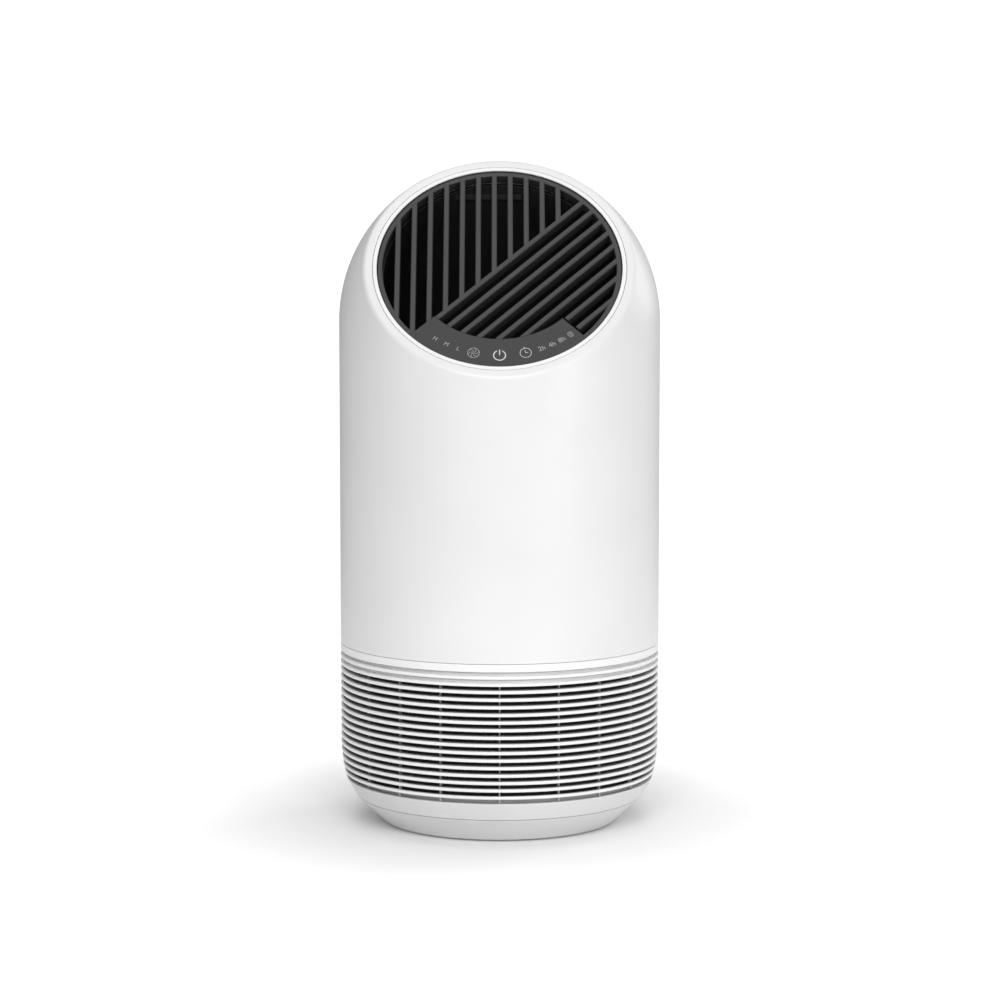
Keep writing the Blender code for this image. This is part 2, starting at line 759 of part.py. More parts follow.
def drill_deck_holes(obj, heights):
    for azimuth in QUARTERS:
        hole = rod("hole", SHANK_HOLE_R, (heights[0] - 1 * MM, heights[1] + 1 * MM), steps=12)
        cut(obj, place(hole, Matrix.Translation(round_point(DECK_SCREW_R, azimuth, 0))))


def make_inlet_guard(material):
    heights = GUARD_Z
    guard = tube("inlet_guard", (GUARD_RIM_R, INLET_R - GAP), heights, material)
    join(guard, tube("ring", GUARD_RING_R, heights, steps=18))
    join(guard, rod("hub", GUARD_HUB_R, heights))
    half_w = 1 * MM
    reach = GUARD_RIM_R + 1.2 * MM
    for k in range(3):
        spoke = box("spoke", (-reach, -half_w, heights[0]), (reach, half_w, heights[1]))
        join(guard, place(spoke, Matrix.Rotation(TURN * k / 6, 4, "Z")))


def make_fan_casing(material):
    low, high = CASING_Z
    inner_r, outer_r = CASING_R
    flange_top = low + CASING_FLANGE_T
    outline = [
        (inner_r, low),
        (DECK_R, low),
        (DECK_R, flange_top),
        (outer_r, flange_top),
        (outer_r, high),
        (inner_r, high),
    ]
    casing = turned("fan_casing", outline, material)
    for azimuth in QUARTERS:
        scallop = rod("scallop", HEAD_R + 0.5 * MM, (flange_top, flange_top + 6 * MM), steps=12)
        cut(casing, place(scallop, Matrix.Translation(round_point(DECK_SCREW_R, azimuth, 0))))
    drill_deck_holes(casing, (low, flange_top))


def make_deck_screws(material):
    seat = CASING_Z[0] + CASING_FLANGE_T + GAP
    for i, azimuth in enumerate(QUARTERS):
        screw = make_screw(f"deck_screw_{i + 1}", seat - DECK_SCREW_END_Z, material)
        place(screw, Matrix.Translation(round_point(DECK_SCREW_R, azimuth, seat)))


def make_screw(name, shank, material, parent=None):
    """A round-headed screw whose head rests on Z = 0 with its shank below."""
    outline = [
        (0, -shank),
        (SHANK_R, -shank),
        (SHANK_R, 0),
        (HEAD_R, 0),
        (HEAD_R * 0.8, HEAD_T),
        (0, HEAD_T),
    ]
    return turned(name, outline, material, parent, steps=10)


def blade_outline():
    """A backward-swept blade seen from above, as a thick arc from the eye to the rim."""
    inner_r = IMPELLER_EYE_R + 1.5 * MM
    outer_r = IMPELLER_R - 1 * MM
    middle = []
    for i in range(6):
        share = i / 5
        radius = inner_r + (outer_r - inner_r) * share
        middle.append(round_point(radius, BLADE_SWEEP * (share**0.8), 0))
    left, right = [], []
    for i, point in enumerate(middle):
        run = (middle[min(i + 1, 5)] - middle[max(i - 1, 0)]).normalized()
        side = Vector((-run.y, run.x, 0)) * BLADE_T / 2
        left.append(point + side)
        right.append(point - side)
    return [(point.x, point.y) for point in left + right[::-1]]


def make_impeller(material, parent):
    """A back plate with a hub, swept blades below it, and an open shroud below those."""
    low, high = IMPELLER_Z
    plate_low = high - IMPELLER_PLATE_T
    shroud_top = low + IMPELLER_PLATE_T
    outline = [
        (SHAFT_BORE_R, HUB_BOTTOM_Z),
        (HUB_R, HUB_BOTTOM_Z),
        (HUB_R + 2 * MM, plate_low),
        (IMPELLER_R, plate_low),
        (IMPELLER_R, high),
        (SHAFT_BORE_R, high),
    ]
    impeller = turned("impeller", outline, material, parent)
    bite = IMPELLER_PLATE_T / 3
    for k in range(BLADE_COUNT):
        blade = prism("blade", blade_outline(), (shroud_top - bite, plate_low + bite))
        join(impeller, place(blade, Matrix.Rotation(TURN * k / BLADE_COUNT, 4, "Z")))
    join(impeller, tube("shroud", (IMPELLER_EYE_R, IMPELLER_R), (low, shroud_top)))


def make_rotating_core(steel, dark_steel, parent):
    rod("motor_shaft", SHAFT_R, SHAFT_Z, steel, parent)
    tube("motor_rotor", (SHAFT_BORE_R, ROTOR_R), STATOR_Z, dark_steel, parent, steps=24)
    nut = rod("impeller_nut", NUT_R, NUT_Z, steel, parent, steps=6)
    cut(nut, rod("nut_bore", SHAFT_BORE_R, (NUT_Z[0] - 1 * MM, NUT_Z[1] + 1 * MM)))


def make_diffuser(material):
    low, high = DIFFUSER_Z
    diffuser = tube("diffuser", CASING_R, DIFFUSER_Z, material)
    cup_in_r, cup_out_r = CUP_R
    cup_outline = [
        (PLATE_HOLE_R, low),
        (cup_out_r, low),
        (cup_out_r, high - 1 * MM),
        (cup_in_r, high - 1 * MM),
        (cup_in_r, PLATE_TOP_Z),
        (PLATE_HOLE_R, PLATE_TOP_Z),
    ]
    vane_low, vane_high = VANE_Z
    middle_z = (vane_low + vane_high) / 2
    half_h = (vane_high - vane_low) / 2
    for k in range(VANE_COUNT):
        vane = box("vane", (VANE_R[0], -VANE_T / 2, -half_h), (VANE_R[1], VANE_T / 2, half_h))
        place(vane, Matrix.Rotation(VANE_LEAN, 4, "X"))
        turn = Matrix.Rotation(TURN * (k + 0.5) / VANE_COUNT, 4, "Z")
        join(diffuser, place(vane, turn @ Matrix.Translation((0, 0, middle_z))))
    join(diffuser, turned("cup", cup_outline))
    for azimuth in MOTOR_SCREW_AZIMUTHS:
        hole = rod("hole", SHANK_HOLE_R, (low - 1 * MM, PLATE_TOP_Z + 1 * MM), steps=12)
        cut(diffuser, place(hole, Matrix.Translation(round_point(MOTOR_SCREW_R, azimuth, 0))))


def make_motor(colors):
    low, high = MOTOR_Z
    seat_r = BEARING_R + GAP
    lower_seat = (LOWER_BEARING_Z[0] - GAP, LOWER_BEARING_Z[1] + GAP)
    upper_seat = (UPPER_BEARING_Z[0] - GAP, UPPER_BEARING_Z[1] + GAP)
    outline = [
        (SHAFT_R + 2 * MM, low),
        (MOTOR_FLANGE_R, low),
        (MOTOR_FLANGE_R, MOTOR_FLANGE_TOP),
        (MOTOR_R, MOTOR_FLANGE_TOP),
        (MOTOR_R, high),
        (0, high),
        (0, upper_seat[1]),
        (seat_r, upper_seat[1]),
        (seat_r, upper_seat[0]),
        (MOTOR_BORE_R, upper_seat[0]),
        (MOTOR_BORE_R, lower_seat[1]),
        (seat_r, lower_seat[1]),
        (seat_r, lower_seat[0]),
        (SHAFT_R + 2 * MM, lower_seat[0]),
    ]
    housing = turned("motor_housing", outline, colors["motor_steel"], steps=24)
    tube("motor_stator", STATOR_R, STATOR_Z, colors["copper"], steps=24)
    tube("bearing_lower", (SHAFT_BORE_R, BEARING_R), LOWER_BEARING_Z, colors["steel"], steps=16)
    tube("bearing_upper", (SHAFT_BORE_R, BEARING_R), UPPER_BEARING_Z, colors["steel"], steps=16)
    head_z = MOTOR_FLANGE_TOP + GAP
    for i, azimuth in enumerate(MOTOR_SCREW_AZIMUTHS):
        spot = round_point(MOTOR_SCREW_R, azimuth, 0)
        hole = rod("hole", SHANK_HOLE_R, (low - 1 * MM, head_z + 1 * MM), steps=12)
        cut(housing, place(hole, Matrix.Translation(spot)))
        damper_z = (PLATE_TOP_Z + GAP, low - GAP)
        damper = tube(f"motor_damper_{i + 1}", DAMPER_R, damper_z, colors["rubber"], steps=12)
        place(damper, Matrix.Translation(spot))
        screw = make_screw(f"motor_screw_{i + 1}", head_z - MOTOR_SCREW_END_Z, colors["steel"])
        place(screw, Matrix.Translation(spot + Vector((0, 0, head_z))))


# The air duct and the electrics


def duct_ring(radius, top_radius, share):
    """One ring of the duct between the upright round end and the slanted one."""
    points = []
    for i in range(DUCT_STEPS):
        angle = TURN * i / DUCT_STEPS
        lower = round_point(radius, angle, DUCT_BEND_Z)
        points.append(lower.lerp(outlet_point(top_radius, angle, DUCT_TOP_DEPTH), share))
    return points


def make_air_duct(material):
    shares = [0, 0.33, 0.67, 1]
    upright = [
        [round_point(radius, TURN * i / DUCT_STEPS, DUCT_BOTTOM_Z) for i in range(DUCT_STEPS)]
        for radius in DUCT_R
    ]
    outer = [duct_ring(DUCT_R[1], DUCT_TOP_R[1], share) for share in shares]
    inner = [duct_ring(DUCT_R[0], DUCT_TOP_R[0], share) for share in reversed(shares)]
    bm = bmesh.new()
    add_rings(bm, [upright[0], upright[1], *outer, *inner])
    duct = make_object("air_duct", bm, material)
    hole_r = LEAD_R + 1.2 * MM
    motor_hole = rod("motor_hole", hole_r, (0, 12 * MM), steps=12)
    cut(duct, place(motor_hole, along_y(0, 85 * MM, MOTOR_LEAD_HOLE_Z)))
    start, end = panel_lead_crossing()
    panel_hole = rod("panel_hole", hole_r, (0, (end - start).length), steps=12)
    cut(duct, place(panel_hole, aligned(start, end)))


def panel_lead_crossing():
    """Where the panel's lead passes through the duct's wall, from inside to outside."""
    return Vector((45, -67, 304)) * MM, Vector((56, -77, 291)) * MM


def make_main_board(colors):
    half = BOARD_HALF_W
    low = (-half, BOARD_Y[0], BOARD_Z[0])
    high = (half, BOARD_Y[1], BOARD_Z[1])
    board = box("main_board", low, high, colors["circuit_board"])
    face_y = BOARD_Y[0] - GAP
    number = 0
    for x in (-POST_X, POST_X):
        for z in POST_Z:
            number += 1
            hole = rod("hole", SHANK_HOLE_R, (0, 6 * MM), steps=12)
            cut(board, place(hole, along_y(x, BOARD_Y[0] - 2 * MM, z)))
            screw = make_screw(f"board_screw_{number}", 8 * MM, colors["steel"])
            turn = Matrix.Translation((x, face_y, z)) @ Matrix.Rotation(math.pi / 2, 4, "X")
            place(screw, turn)
    capacitor = rod("main_capacitor", 6 * MM, (0, 14 * MM), colors["dark_plastic"])
    place(capacitor, along_y(-12 * MM, face_y - 14 * MM, 312 * MM))
    coil = tube("power_coil", (3.5 * MM, 8 * MM), (0, 7 * MM), colors["copper"], steps=20)
    place(coil, along_y(11 * MM, face_y - 7 * MM, 314 * MM))
    sink_low = (-10 * MM, face_y - 7 * MM, 284 * MM)
    make_heat_sink(sink_low, face_y, colors["aluminium"])
    connector_y = BOARD_Y[1] + GAP
    box(
        "board_connector",
        (-18 * MM, connector_y, BOARD_Z[0]),
        (18 * MM, connector_y + 5.6 * MM, BOARD_Z[0] + 8 * MM),
        colors["cream_plastic"],
    )


def make_heat_sink(low, face_y, material):
    """A finned block: its comb outline stands in X and Y, and runs up Z."""
    fin = 2 * MM
    web_y = face_y - 2 * MM
    x = low[0]
    outline = [(x, face_y)]
    for k in range(5):
        outline += [(x + 2 * fin * k, low[1]), (x + 2 * fin * k + fin, low[1])]
        if k < 4:
            outline += [(x + 2 * fin * k + fin, web_y), (x + 2 * fin * (k + 1), web_y)]
    outline.append((x + 9 * fin, face_y))
    prism("heat_sink", outline, (low[2], low[2] + 14 * MM), material)


def make_power_socket(material):
    """A barrel socket: a cup with its centre pin, its mouth towards +Y."""
    length = 11.2 * MM
    outline = [
        (0, 0),
        (SOCKET_R, 0),
        (SOCKET_R, 6.3 * MM),
        (8.2 * MM, 6.3 * MM),
        (8.2 * MM, 8.3 * MM),
        (SOCKET_R, 8.3 * MM),
        (SOCKET_R, length),
        (2.9 * MM, length),
        (2.9 * MM, 2 * MM),
        (1 * MM, 2 * MM),
        (1 * MM, 10 * MM),
        (0, 10 * MM),
    ]
    socket = turned("power_socket", outline, material, steps=16)
    place(socket, along_y(0, SOCKET_Y, SOCKET_Z))


def smooth_route(points, per_leg=3):
    """A Catmull-Rom curve through the points."""
    ends = [2 * points[0] - points[1], *points, 2 * points[-1] - points[-2]]
    route = []
    for a, b, c, d in zip(ends, ends[1:], ends[2:], ends[3:]):
        for i in range(per_leg):
            t = i / per_leg
            bend = (2 * a - 5 * b + 4 * c - d) * t * t + (3 * b - a - 3 * c + d) * t**3
            route.append((2 * b + (c - a) * t + bend) / 2)
    return route + [points[-1]]


def make_lead(name, points, material):
    route = smooth_route(points)
    curve = bpy.data.curves.new(name, "CURVE")
    curve.dimensions = "3D"
    curve.bevel_depth = LEAD_R
    curve.bevel_resolution = 1
    curve.use_fill_caps = True
    curve.materials.append(material)
    spline = curve.splines.new("POLY")
    spline.points.add(len(route) - 1)
    for point, place_at in zip(spline.points, route):
        point.co = (*place_at, 1)
    obj = bpy.data.objects.new(name, curve)
    bpy.context.collection.objects.link(obj)


def make_leads(material):
    socket_start = Vector((0, 97, 139.6)) * MM
    side = Vector((12 * MM, 0, 0))
    socket_run = [Vector(p) * MM for p in ((-1, 97.3, 152), (-6, 97.3, 190), (-11, 97, 232))]
    make_lead("socket_lead", [socket_start, *socket_run, LEAD_END - side], material)

    motor_start = Vector((0, 12, 183.4)) * MM
    through_duct = [(0, 16, 192), (0, 45, 200), (0, 78, 205), (0, 92, 206.5)]
    up_outside = [(0, 97, 215), (0, 96.5, 240)]
    motor_run = [Vector(p) * MM for p in through_duct + up_outside]
    make_lead("motor_lead", [motor_start, *motor_run, LEAD_END], material)

    hole_r, hole_angle = TRAY_HOLE
    tray_depth = -GRILLE_BOTTOM
    panel_start = outlet_point(hole_r, hole_angle, tray_depth + GAP)
    panel_turn = outlet_point(hole_r, hole_angle, tray_depth + 6 * MM)
    inside, outside = panel_lead_crossing()
    around = [
        round_point(96.8 * MM, math.radians(azimuth), z * MM)
        for azimuth, z in ((47, 286), (70, 281), (95, 274), (120, 266), (145, 256), (163, 246))
    ]
    rise = LEAD_END + side - Vector((0, -2 * MM, 8 * MM))
    points = [panel_start, panel_turn, inside, outside, *around, rise, LEAD_END + side]
    make_lead("panel_lead", points, material)


def make_colors():
    return {
        "white_shell": make_material("white_shell", (0.86, 0.86, 0.86), 0.32),
        "white_trim": make_material("white_trim", (0.84, 0.84, 0.84), 0.35),
        "dark_grille": make_material("dark_grille", (0.06, 0.06, 0.06), 0.5),
        "touch_face": make_material("touch_face", (0.055, 0.055, 0.055), 0.3),
        "cream_plastic": make_material("cream_plastic", (0.7, 0.66, 0.55), 0.5),
        "dark_plastic": make_material("dark_plastic", (0.03, 0.03, 0.035), 0.45),
        "duct_plastic": make_material("duct_plastic", (0.09, 0.09, 0.1), 0.6),
        "fan_plastic": make_material("fan_plastic", (0.12, 0.12, 0.13), 0.4),
        "circuit_board": make_material("circuit_board", (0.02, 0.14, 0.06), 0.45),
        "steel": make_material("steel", (0.6, 0.6, 0.62), 0.3, 1.0),
        "motor_steel": make_material("motor_steel", (0.4, 0.4, 0.42), 0.4, 1.0),
        "rotor_steel": make_material("rotor_steel", (0.2, 0.2, 0.22), 0.45, 1.0),
        "copper": make_material("copper", (0.75, 0.33, 0.15), 0.35, 1.0),
        "aluminium": make_material("aluminium", (0.75, 0.76, 0.78), 0.35, 1.0),
        "rubber": make_material("rubber", (0.03, 0.03, 0.03), 0.8),
        "cable": make_material("cable", (0.04, 0.04, 0.04), 0.6),
        "filter_cap": make_material("filter_cap", (0.75, 0.76, 0.78), 0.5),
        "filter_media": make_material("filter_media", (0.9, 0.9, 0.88), 0.9),
        "prefilter": make_material("prefilter", (0.2, 0.21, 0.22), 0.8),
        "carbon": make_material("carbon", (0.02, 0.02, 0.02), 0.95),
        "foam": make_material("foam", (0.1, 0.1, 0.1), 0.95),
        "pull_tab": make_material("pull_tab", (0.1, 0.35, 0.6), 0.7),
    }


def main():
    clear_scene()
    colors = make_colors()
    outlet_plane = make_empty("outlet_plane", outlet_point(0, 0), (math.pi / 2 - OUTLET_TILT, 0, 0))
    fan_axis = make_empty("fan_axis")
    filter_slide = make_empty("filter_slide")
    cover_axis = make_empty("cover_axis")

    make_upper_housing(colors["white_shell"])
    make_outlet_bezel(colors["white_trim"], outlet_plane)
    make_outlet_grille(colors["dark_grille"], outlet_plane)
    make_touch_panel(colors["touch_face"], colors["circuit_board"], outlet_plane)
    make_intake_grille(colors["white_trim"])
    make_base_ring(colors["white_trim"])
    make_bottom_cover(colors["white_trim"], cover_axis)
    make_feet(colors["rubber"], cover_axis)
    make_cartridge(colors, filter_slide)
    make_fan_deck(colors["duct_plastic"])
    make_inlet_guard(colors["dark_plastic"])
    make_fan_casing(colors["duct_plastic"])
    make_deck_screws(colors["steel"])
    make_impeller(colors["fan_plastic"], fan_axis)
    make_rotating_core(colors["steel"], colors["rotor_steel"], fan_axis)
    make_diffuser(colors["duct_plastic"])
    make_motor(colors)
    make_air_duct(colors["duct_plastic"])
    make_main_board(colors)
    make_power_socket(colors["dark_plastic"])
    make_leads(colors["cable"])


main()
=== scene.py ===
"""The looks of the cylindrical air purifier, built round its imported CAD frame.

Metres, +Z up, front towards -Y, as in the frame. Azimuths run from the front (-Y) towards +X.
Pieces of the slanted outlet are built flat, in the outlet's own frame (local Z is its outward
normal), and then moved onto the outlet plane.
"""

import json
import math

import bmesh
import bpy
from mathutils import Matrix, Vector

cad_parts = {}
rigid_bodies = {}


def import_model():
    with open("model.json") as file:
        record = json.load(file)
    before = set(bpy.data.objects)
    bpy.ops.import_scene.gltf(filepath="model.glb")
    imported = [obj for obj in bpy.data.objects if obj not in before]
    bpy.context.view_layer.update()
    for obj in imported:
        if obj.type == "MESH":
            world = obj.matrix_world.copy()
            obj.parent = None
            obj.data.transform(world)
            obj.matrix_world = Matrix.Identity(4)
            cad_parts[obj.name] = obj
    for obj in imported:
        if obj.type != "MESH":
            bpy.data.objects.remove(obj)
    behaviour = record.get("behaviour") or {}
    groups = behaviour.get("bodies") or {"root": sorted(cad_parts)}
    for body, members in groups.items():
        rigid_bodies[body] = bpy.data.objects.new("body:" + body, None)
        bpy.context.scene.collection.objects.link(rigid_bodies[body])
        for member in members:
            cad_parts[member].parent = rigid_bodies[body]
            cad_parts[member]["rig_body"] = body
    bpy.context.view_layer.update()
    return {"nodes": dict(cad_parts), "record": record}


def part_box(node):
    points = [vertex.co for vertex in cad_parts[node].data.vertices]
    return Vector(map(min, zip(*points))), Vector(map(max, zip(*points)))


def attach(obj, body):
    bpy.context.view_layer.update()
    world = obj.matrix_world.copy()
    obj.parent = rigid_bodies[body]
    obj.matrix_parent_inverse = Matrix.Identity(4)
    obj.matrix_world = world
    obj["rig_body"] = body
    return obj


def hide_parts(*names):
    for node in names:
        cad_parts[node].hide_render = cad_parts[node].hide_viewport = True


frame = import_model()

MM = 0.001
GAP = 0.3 * MM  # left between neighbouring pieces
SEAM_GAP = 0.23 * MM  # between white shells that meet in a fine line
FINE = 0.3 * MM  # the fillet of a plain moulded corner
TURN = 2 * math.pi
BACKWARDS = Matrix.Rotation(-math.pi / 2, 4, "X")  # from +Z to +Y
FORWARDS = Matrix.Rotation(math.pi / 2, 4, "X")  # from +Z to -Y

# Sizes that the frame gives
BODY_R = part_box("upper_housing")[1].x
SEAM_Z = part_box("upper_housing")[0].z
BASE_TOP_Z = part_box("base_ring")[1].z
BASE_SEAM_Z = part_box("base_ring")[0].z
COVER_UNDER_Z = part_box("bottom_cover")[0].z
COVER_COLLAR_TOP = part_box("bottom_cover")[1].z

# The head and its slanted outlet
WALL = 2.5 * MM
HEAD_Z = 330.1 * MM
BLEND_Z = 250 * MM
OUTLET_TILT = math.radians(39.15)
OUTLET_D = 59 * MM
RIM_FLAT_R = 85 * MM
RIM_BORE_R = 81.4 * MM
RIM_T = 4 * MM
RIM_FILLET = 2.4 * MM
BEZEL_IN_R = 78.6 * MM
BEZEL_OUT_R = RIM_BORE_R - SEAM_GAP
GRILLE_R = BEZEL_IN_R - GAP
GRILLE_FRAME = 3.4 * MM
GRILLE_TOP = -1.2 * MM
GRILLE_BOTTOM = GRILLE_TOP - 7 * MM
# A thin black band round the grille's edge: painted shade for the dark line in the gap to the bezel.
SHADOW_BAND_T = 0.25 * MM
SHADOW_BAND_RISE = 0.3 * MM
SHADOW_BAND_CLEARANCE = 0.02 * MM
BAR_W = 3.6 * MM
UPRIGHT_PITCH = 10.32 * MM
UPRIGHT_FIRST = -65.35 * MM
UPRIGHT_COUNT = 11
SLANT_PITCH = 9.775 * MM
SLANT_COUNT = 8
PANEL_IN_R = 58.3 * MM
PANEL_FROM = math.radians(-45.2)
PANEL_TO = math.radians(43.0)
PANEL_T = 1.8 * MM
TRAY_WALL = 1.5 * MM
TRAY_END = math.radians(1.6)
SYMBOL_R = 69.2 * MM
INK_T = 0.04 * MM
LABELS = {"H": -35.8, "M": -28.9, "L": -22.2, "2h": 22.6, "4h": 28.6, "8h": 34.5}  # degrees
LABEL_SIZES = {1: 2.9 * MM, 2: 3.4 * MM}  # by the number of letters
ICON_TURN = 13.7
FILTER_TURN = 40.2
FONT_CAP = 0.69  # the height of a capital in Blender's own font, for a size of 1

# The intake
SLAT_IN_R = 99.3 * MM
DRAW_IN_Z = 62 * MM
DRAW_IN = 3.6 * MM
RIB_IN_R = 96 * MM
RIB_W = 1 * MM
RIB_DEPTH = 2 * MM  # along the radius
FLANGE_R = 90.5 * MM
FLANGE_TOP = 109.5 * MM
FIRST_GAP_TOP = 105.2 * MM
SLAT_PITCH = 4.86 * MM
SLAT_GAP = 2.75 * MM
SLAT_H = SLAT_PITCH - SLAT_GAP
SLAT_CROWN = 0.6 * MM
SLAT_LIP = 1.6 * MM
SLAT_TAPER = 0.9 * MM
SCREEN_R = (94.9 * MM, 95.5 * MM)
GAP_COUNT = 15
SILL_Z = BASE_TOP_Z + GAP
SILL_R = 98 * MM
BLIND_TOPS = (114.4 * MM, 109.75 * MM)
BLIND_GAP = 2.6 * MM
BLIND_DEPTH = 3.4 * MM
BLIND_SLOT = 1.2 * MM
RIB_AZIMUTHS = [math.radians(a) for a in (22.3, 40.1, 58.9, 76)]  # besides the middle one
QUARTERS = [math.radians(45 + 90 * i) for i in range(4)]

# The base
COLLAR_R = 88.4 * MM
LUG_R = 91 * MM
LUG_Z = (24 * MM, 26.4 * MM)
LUG_HALF = math.radians(4)
NOTCH_R = (87 * MM, 91.7 * MM)
NOTCH_HALF = math.radians(5.5)
NOTCH_TOP = 24.2 * MM
FOOT_CIRCLE_R = 64 * MM
GRIP_R = 28 * MM
GRIP_HALF_W = 8 * MM
GRIP_HALF = math.radians(48)
GRIP_DEPTH = 1.9 * MM
ARROW_R = 49 * MM
FOOT_R = 6 * MM
POCKET_TOP = 3.2 * MM

# The filter cartridge
CARTRIDGE_R = 84 * MM
CARTRIDGE_Z = (11 * MM, 105.5 * MM)
CAP_T = 2.5 * MM
CAP_LIP = 5 * MM
LIP_T = 1.7 * MM
MEDIA_R = (60 * MM, 80.2 * MM)
PAPER_DEPTH = 5 * MM  # along the radius, so that the steep folds come out thin
PLEATS = 120
SLEEVE_R = (80.6 * MM, 82 * MM)
NET_THREADS = 64
CARBON_R = (54.5 * MM, 59.6 * MM)
CORE_R = 52 * MM
GASKET_R = (54 * MM, 62 * MM)
GASKET_TOP_Z = 109.4 * MM

# The fan, the motor and the duct
DECK_Z = (109.9 * MM, 112.4 * MM)
DECK_R = 97.2 * MM
INLET_R = 50 * MM
BELL_TOP_Z = 117.5 * MM
GUARD_Z = (110 * MM, 112 * MM)
CASING_R = (90 * MM, 92 * MM)
CASING_Z = (112.8 * MM, 145.6 * MM)
CASING_FLANGE_TOP = 114.8 * MM
IMPELLER_R = 77 * MM
IMPELLER_EYE_R = 54.5 * MM
IMPELLER_Z = (119.2 * MM, 143 * MM)
PLATE_T = 1.8 * MM
HUB_BORE_R = 2.8 * MM
HUB_LOW_Z = 127 * MM
BLADE_COUNT = 9
BLADE_SWEEP = math.radians(48)
DIFFUSER_Z = (146 * MM, 184 * MM)
CUP_R = (58 * MM, 60 * MM)
CUP_HOLE_R = 12 * MM
CUP_PLATE_TOP = 148.2 * MM
VANE_COUNT = 9
VANE_LEAN = math.radians(24)
VANE_Z = 166 * MM
VANE_HALF_H = 13 * MM
MOTOR_Z = (150.6 * MM, 183 * MM)
MOTOR_FLANGE_TOP = 152.8 * MM
MOTOR_SCREW_R = 36.5 * MM
MOTOR_SCREW_AZIMUTHS = [math.radians(30 + 120 * i) for i in range(3)]
DECK_SCREW_R = 94.2 * MM
DECK_SCREW_END = 107 * MM
MOTOR_SCREW_END = 146.6 * MM
BOARD_SHANK = 8 * MM
SHANK_R = 1.4 * MM
SHANK_HOLE_R = 1.7 * MM
SCREW_HEAD_R = 3 * MM
SCREW_HEAD_T = 2.2 * MM
DUCT_R = (90 * MM, 92 * MM)
DUCT_BOTTOM_Z = 184.4 * MM
DUCT_BEND_Z = 232 * MM
DUCT_TOP_R = (74.5 * MM, 76.5 * MM)
DUCT_TOP_DEPTH = 10.8 * MM
LEAD_HOLE_R = 2.5 * MM
LEDGE_Z = (409 * MM, 412.5 * MM)
LEDGE_T = 2 * MM
LEDGE_ARC = (math.radians(168.5), math.radians(202.7))
SOCKET_Y = 93.2 * MM
SOCKET_Z = 133 * MM
SOCKET_HOLE_R = 6.5 * MM
BOARD_FACE_Y = 85.7 * MM
POST_X = 30 * MM
POST_Z = (275 * MM, 325 * MM)

# The studio
FLOOR_R = 1.6
FLOOR_FADE = (0.7, 1.5)
FLOOR_LIT = (0.09, 0.25)
FLOOR_GLOW = (0.05, 0.42)
SKY_LIGHT = 0.25
SKY_SEEN = 1.15  # the strength of the surround in the camera's own view
CAMERA_PLACE = (0.26 * MM, -2.013, 0.4267)
CAMERA_DOWN = math.radians(6.08)
LENS = 110.56
SENSOR = 36
LIGHT_TARGET = (0, 0, 0.22)
SOFTBOXES = {  # place, size and watts
    "front_high": ((0, -2.6, 1.9), (1.8, 1.2), 48),
    "front_right": ((1.9, -2.2, 0.7), (1.0, 1.2), 13),
    "top": ((0, -0.2, 2.4), (1.8, 1.8), 12.5),
    "back_right": ((1.8, 1.4, 1.0), (1.0, 1.4), 11.1),
    "back_high": ((0, 2.0, 1.9), (1.6, 1.0), 6),
}

HOUSING_COLUMNS = 240
FINE_STEPS = 240
ROUND_STEPS = 192
SOFTEN_ANGLE = math.radians(35)
SHARP_ANGLE = math.radians(42)


# Mesh tools


def round_point(radius, azimuth, z):
    return Vector((radius * math.sin(azimuth), -radius * math.cos(azimuth), z))


def on_circle(radius, azimuth, z=0):
    """Takes a piece built round Z to a spot on a circle."""
    return Matrix.Translation(round_point(radius, azimuth, z))


def on_outlet():
    """Takes a piece built flat to the outlet plane."""
    return Matrix.Translation(outlet_point(0, 0)) @ Matrix.Rotation(math.pi / 2 - OUTLET_TILT, 4, "X")


def shares(steps):
    """Even steps from 0 to 1."""
    return [k / steps for k in range(steps + 1)]


def bend(start, corner, end, steps):
    """Points on a smooth bend from start to end that is drawn towards the corner."""
    return [start.lerp(corner, t).lerp(corner.lerp(end, t), t) for t in shares(steps)]


def rounded(outline, steps=4):
    """The closed outline of (x, y, fillet) corners with its corners made round."""
    points = []
    for i, (x, y, fillet) in enumerate(outline):
        corner = Vector((x, y))
        before = Vector(outline[i - 1][:2])
        after = Vector(outline[(i + 1) % len(outline)][:2])
        if not fillet:
            points.append(corner)
            continue
        start = corner + (before - corner).normalized() * fillet
        end = corner + (after - corner).normalized() * fillet
        points += bend(start, corner, end, steps)
    return points


def add_rings(bm, rings, closed=True):
    """Bridges rings of points one after another. A ring of one point is a tip."""
    loops = [[bm.verts.new(point) for point in ring] for ring in rings]
    pairs = zip(loops, loops[1:] + loops[:1]) if closed else zip(loops, loops[1:])
    for first, second in pairs:
        count = max(len(first), len(second))
        if count == 1:
            continue
        for i in range(count):
            j = (i + 1) % count
            if len(first) == 1:
                bm.faces.new((first[0], second[j], second[i]))
            elif len(second) == 1:
                bm.faces.new((first[i], first[j], second[0]))
            else:
                bm.faces.new((first[i], first[j], second[j], second[i]))


def add_turned(bm, outline, steps=ROUND_STEPS):
    """Adds a solid turned about Z from a closed outline of (radius, z) points."""
    rings = []
    for radius, z in outline:
        count = 1 if radius < 1e-9 else steps
        rings.append([round_point(radius, TURN * i / steps, z) for i in range(count)])
    add_rings(bm, rings)


def add_strip(bm, sections):
    """Bridges sections of points one after another, and closes both ends."""
    loops = [[bm.verts.new(point) for point in section] for section in sections]
    for first, second in zip(loops, loops[1:]):
        count = len(first)
        for i in range(count):
            j = (i + 1) % count
            bm.faces.new((first[i], first[j], second[j], second[i]))
    bm.faces.new(loops[0])
    bm.faces.new(loops[-1])


